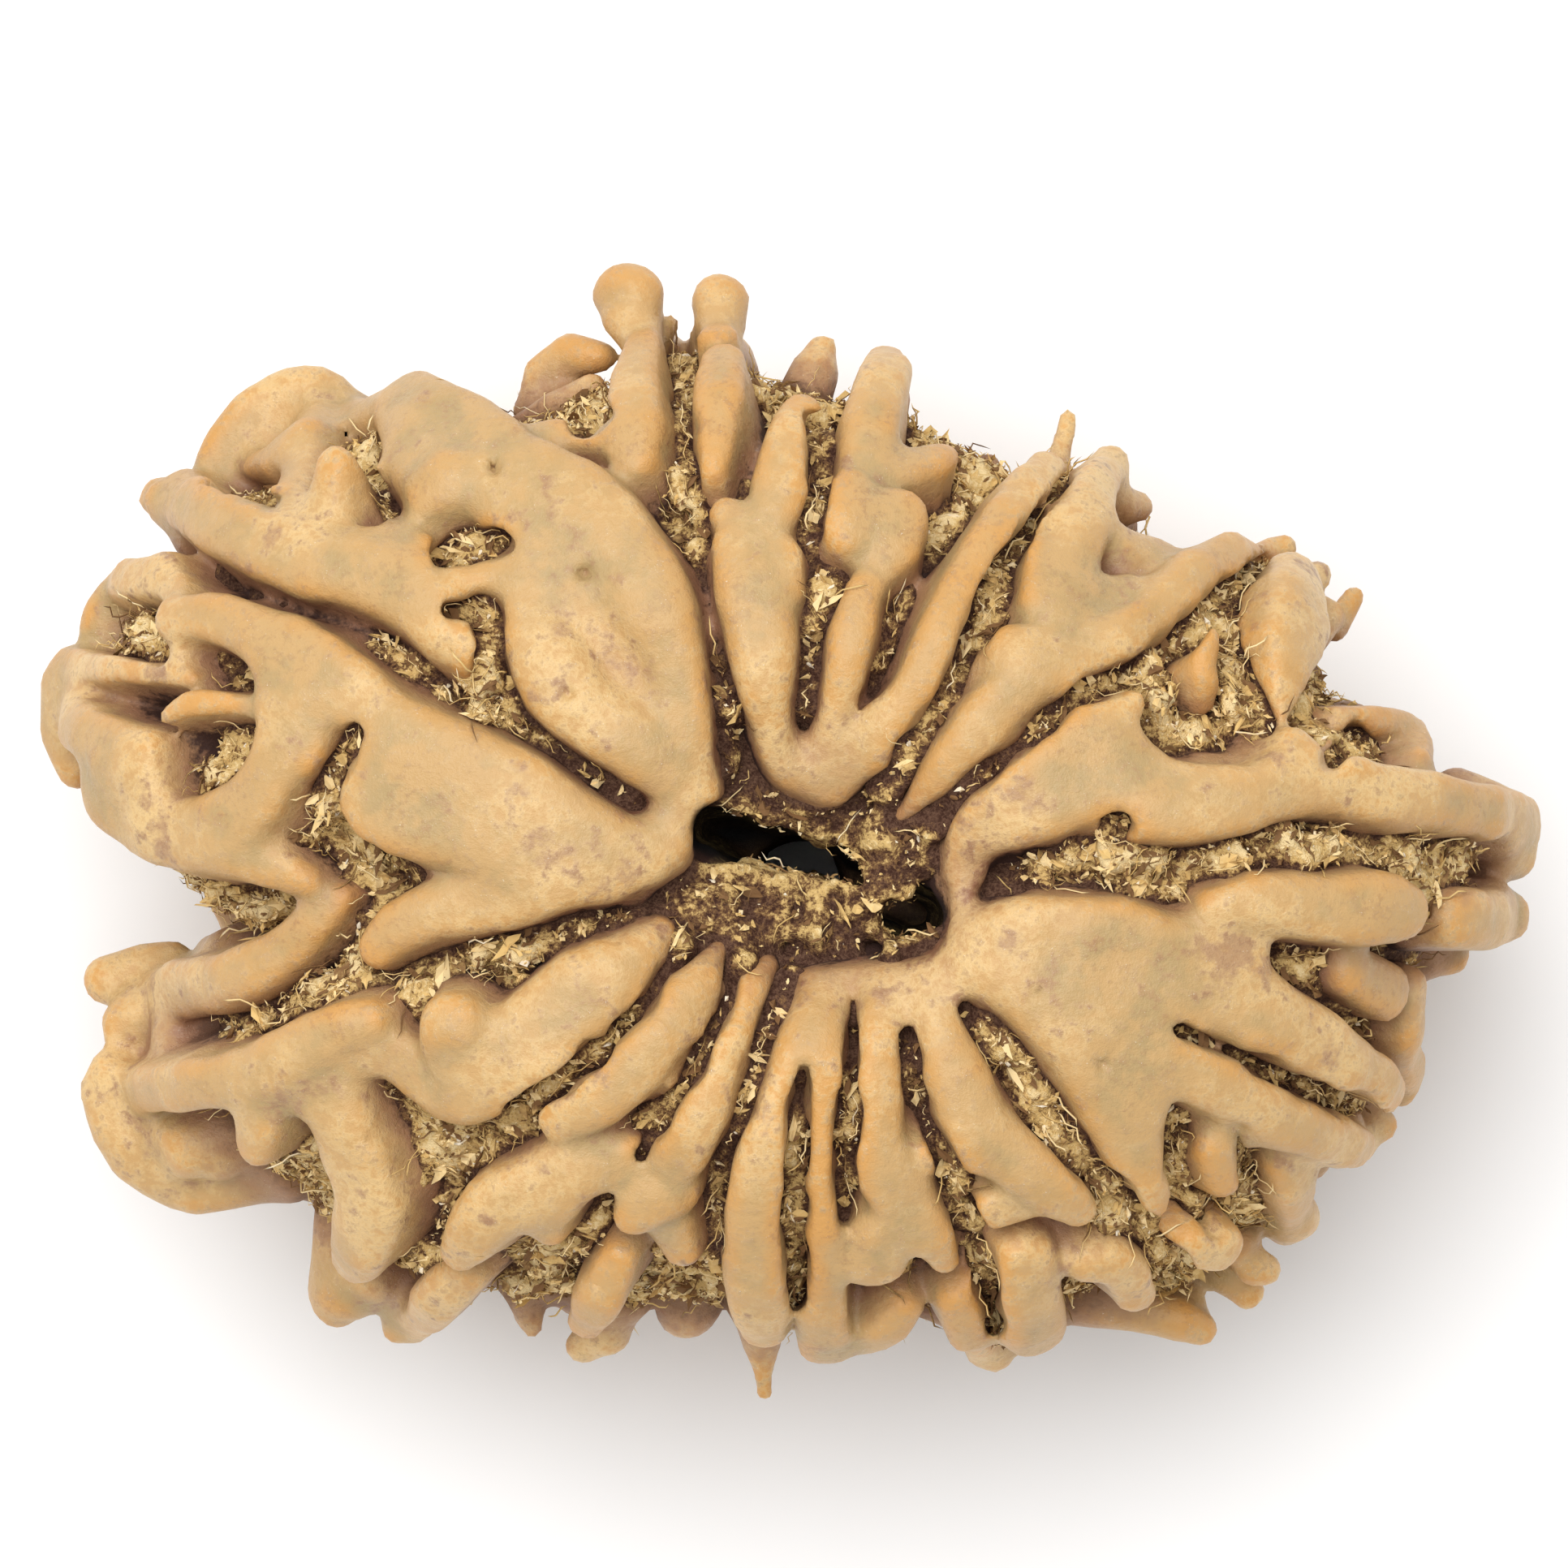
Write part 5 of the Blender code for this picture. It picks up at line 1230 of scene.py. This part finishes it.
# The strands. They are the pulp's own fibres, pulled loose, which bridge the furrows and stand
# off the bed. Here each is a thin three-sided tube with pointed ends, laid along a path that
# keeps near the crust.
def strands(name, starts, height, length, width, turn, shades, chance, joints=6):
    """Tubes along paths that start at places near the crust, turn a little at each joint and
    keep a height above the crust that changes from joint to joint."""
    points = settled(starts, height)
    heading = laid_along(points, outward(points), chance, turn)
    path = [points]
    for _ in range(joints - 1):
        out = outward(points)
        heading = unit(heading + chance.normal(0, 0.25, heading.shape))
        heading = unit(heading - 0.8 * np.sum(heading * out, 1)[:, None] * out)
        points = points + heading * (length / (joints - 1))[:, None]
        near = np.clip(height * chance.uniform(0.3, 1.8, len(points)), 1, 60)
        missing = np.clip(near - lattice.sampled(crust, points), -9, 9)
        points = points + outward(points) * missing[:, None]
        path.append(points)
    path = np.stack(path, 1)
    ahead = unit((path[:, -1] - path[:, 0]))
    side = unit(np.cross(ahead, outward(path[:, joints // 2])))
    up = np.cross(side, ahead)
    rings = [path[:, :1]]
    for joint in range(1, joints - 1):
        for corner in range(3):
            angle = corner * 2 * np.pi / 3
            arm = side * np.cos(angle) + up * np.sin(angle)
            rings.append((path[:, joint] + arm * (width / 2)[:, None])[:, None])
    rings.append(path[:, -1:])
    points = np.concatenate(rings, 1)
    last = points.shape[1] - 1
    sides = [(0, 1 + (i + 1) % 3, 1 + i) for i in range(3)]
    for joint in range(joints - 3):
        for i in range(3):
            a, b = 1 + 3 * joint + i, 1 + 3 * joint + (i + 1) % 3
            sides += [(a, b, b + 3), (a, b + 3, a + 3)]
    sides += [(last, last - 3 + i, last - 3 + (i + 1) % 3) for i in range(3)]
    scraps(name, points, sides, shades, smooth=True)


chance = np.random.default_rng(11)
COUNT = 1300
picks = picked(upper, COUNT, chance)
strands("pulp_strands", picks, chance.uniform(1, 12, COUNT), chance.uniform(14, 70, COUNT),
        chance.uniform(1.2, 3.0, COUNT), 0.6, chance.uniform(0.0, 1.1, COUNT), chance)
COUNT = 2000
picks = picked(lower, COUNT, chance)
strands("lower_pulp_strands", picks, chance.uniform(2, 10, COUNT), chance.uniform(14, 60, COUNT),
        chance.uniform(1.6, 4.0, COUNT), 0.7, chance.uniform(0.3, 1.0, COUNT), chance)


# The ground under the bead, plain and nearly white.
floor_mesh = bpy.data.meshes.new("floor")
floor_mesh.from_pydata([(-2, -2, 0), (2, -2, 0), (2, 2, 0), (-2, 2, 0)], [], [(0, 1, 2, 3)])
floor = bpy.data.objects.new("floor", floor_mesh)
bpy.context.scene.collection.objects.link(floor)
paper = Material("paper")
paper.set("Base Color", (0.95, 0.95, 0.95, 1.0))
paper.set("Roughness", 0.9)
paper.set("Specular IOR Level", 0.0)
floor_mesh.materials.append(paper.material)

# Soft studio light: the same from all sides, and a little more from a wide panel overhead.
world = bpy.data.worlds.new("studio")
bpy.context.scene.world = world
world.use_nodes = True
world.node_tree.nodes["Background"].inputs["Color"].default_value = (1.0, 1.0, 1.0, 1.0)
world.node_tree.nodes["Background"].inputs["Strength"].default_value = 0.62
panel = bpy.data.lights.new("panel", "AREA")
panel.shape = "DISK"
panel.size = 0.6
panel.energy = 4.2
panel_object = bpy.data.objects.new("panel", panel)
panel_object.location = (-0.10, 0.16, 0.6)
panel_object.rotation_euler = (-0.26, -0.16, 0.0)
bpy.context.scene.collection.objects.link(panel_object)
bpy.context.scene.view_settings.view_transform = "Standard"

# The camera looks straight down from far off through a long lens. The view is 1932 steps wide.
VIEW_ACROSS, VIEW_DOWN = 966, 966
VIEW_STEPS = 1932
CAMERA_DISTANCE = 1.5
lens = bpy.data.cameras.new("camera")
lens.sensor_width = 36.0
lens.lens = 36.0 * CAMERA_DISTANCE / (VIEW_STEPS * STEP)
camera = bpy.data.objects.new("camera", lens)
aim = in_frame((VIEW_ACROSS - AXIS_ACROSS, AXIS_DOWN - VIEW_DOWN, 0))
camera.location = (aim[0], aim[1], aim[2] + CAMERA_DISTANCE)
bpy.context.scene.collection.objects.link(camera)
bpy.context.scene.camera = camera
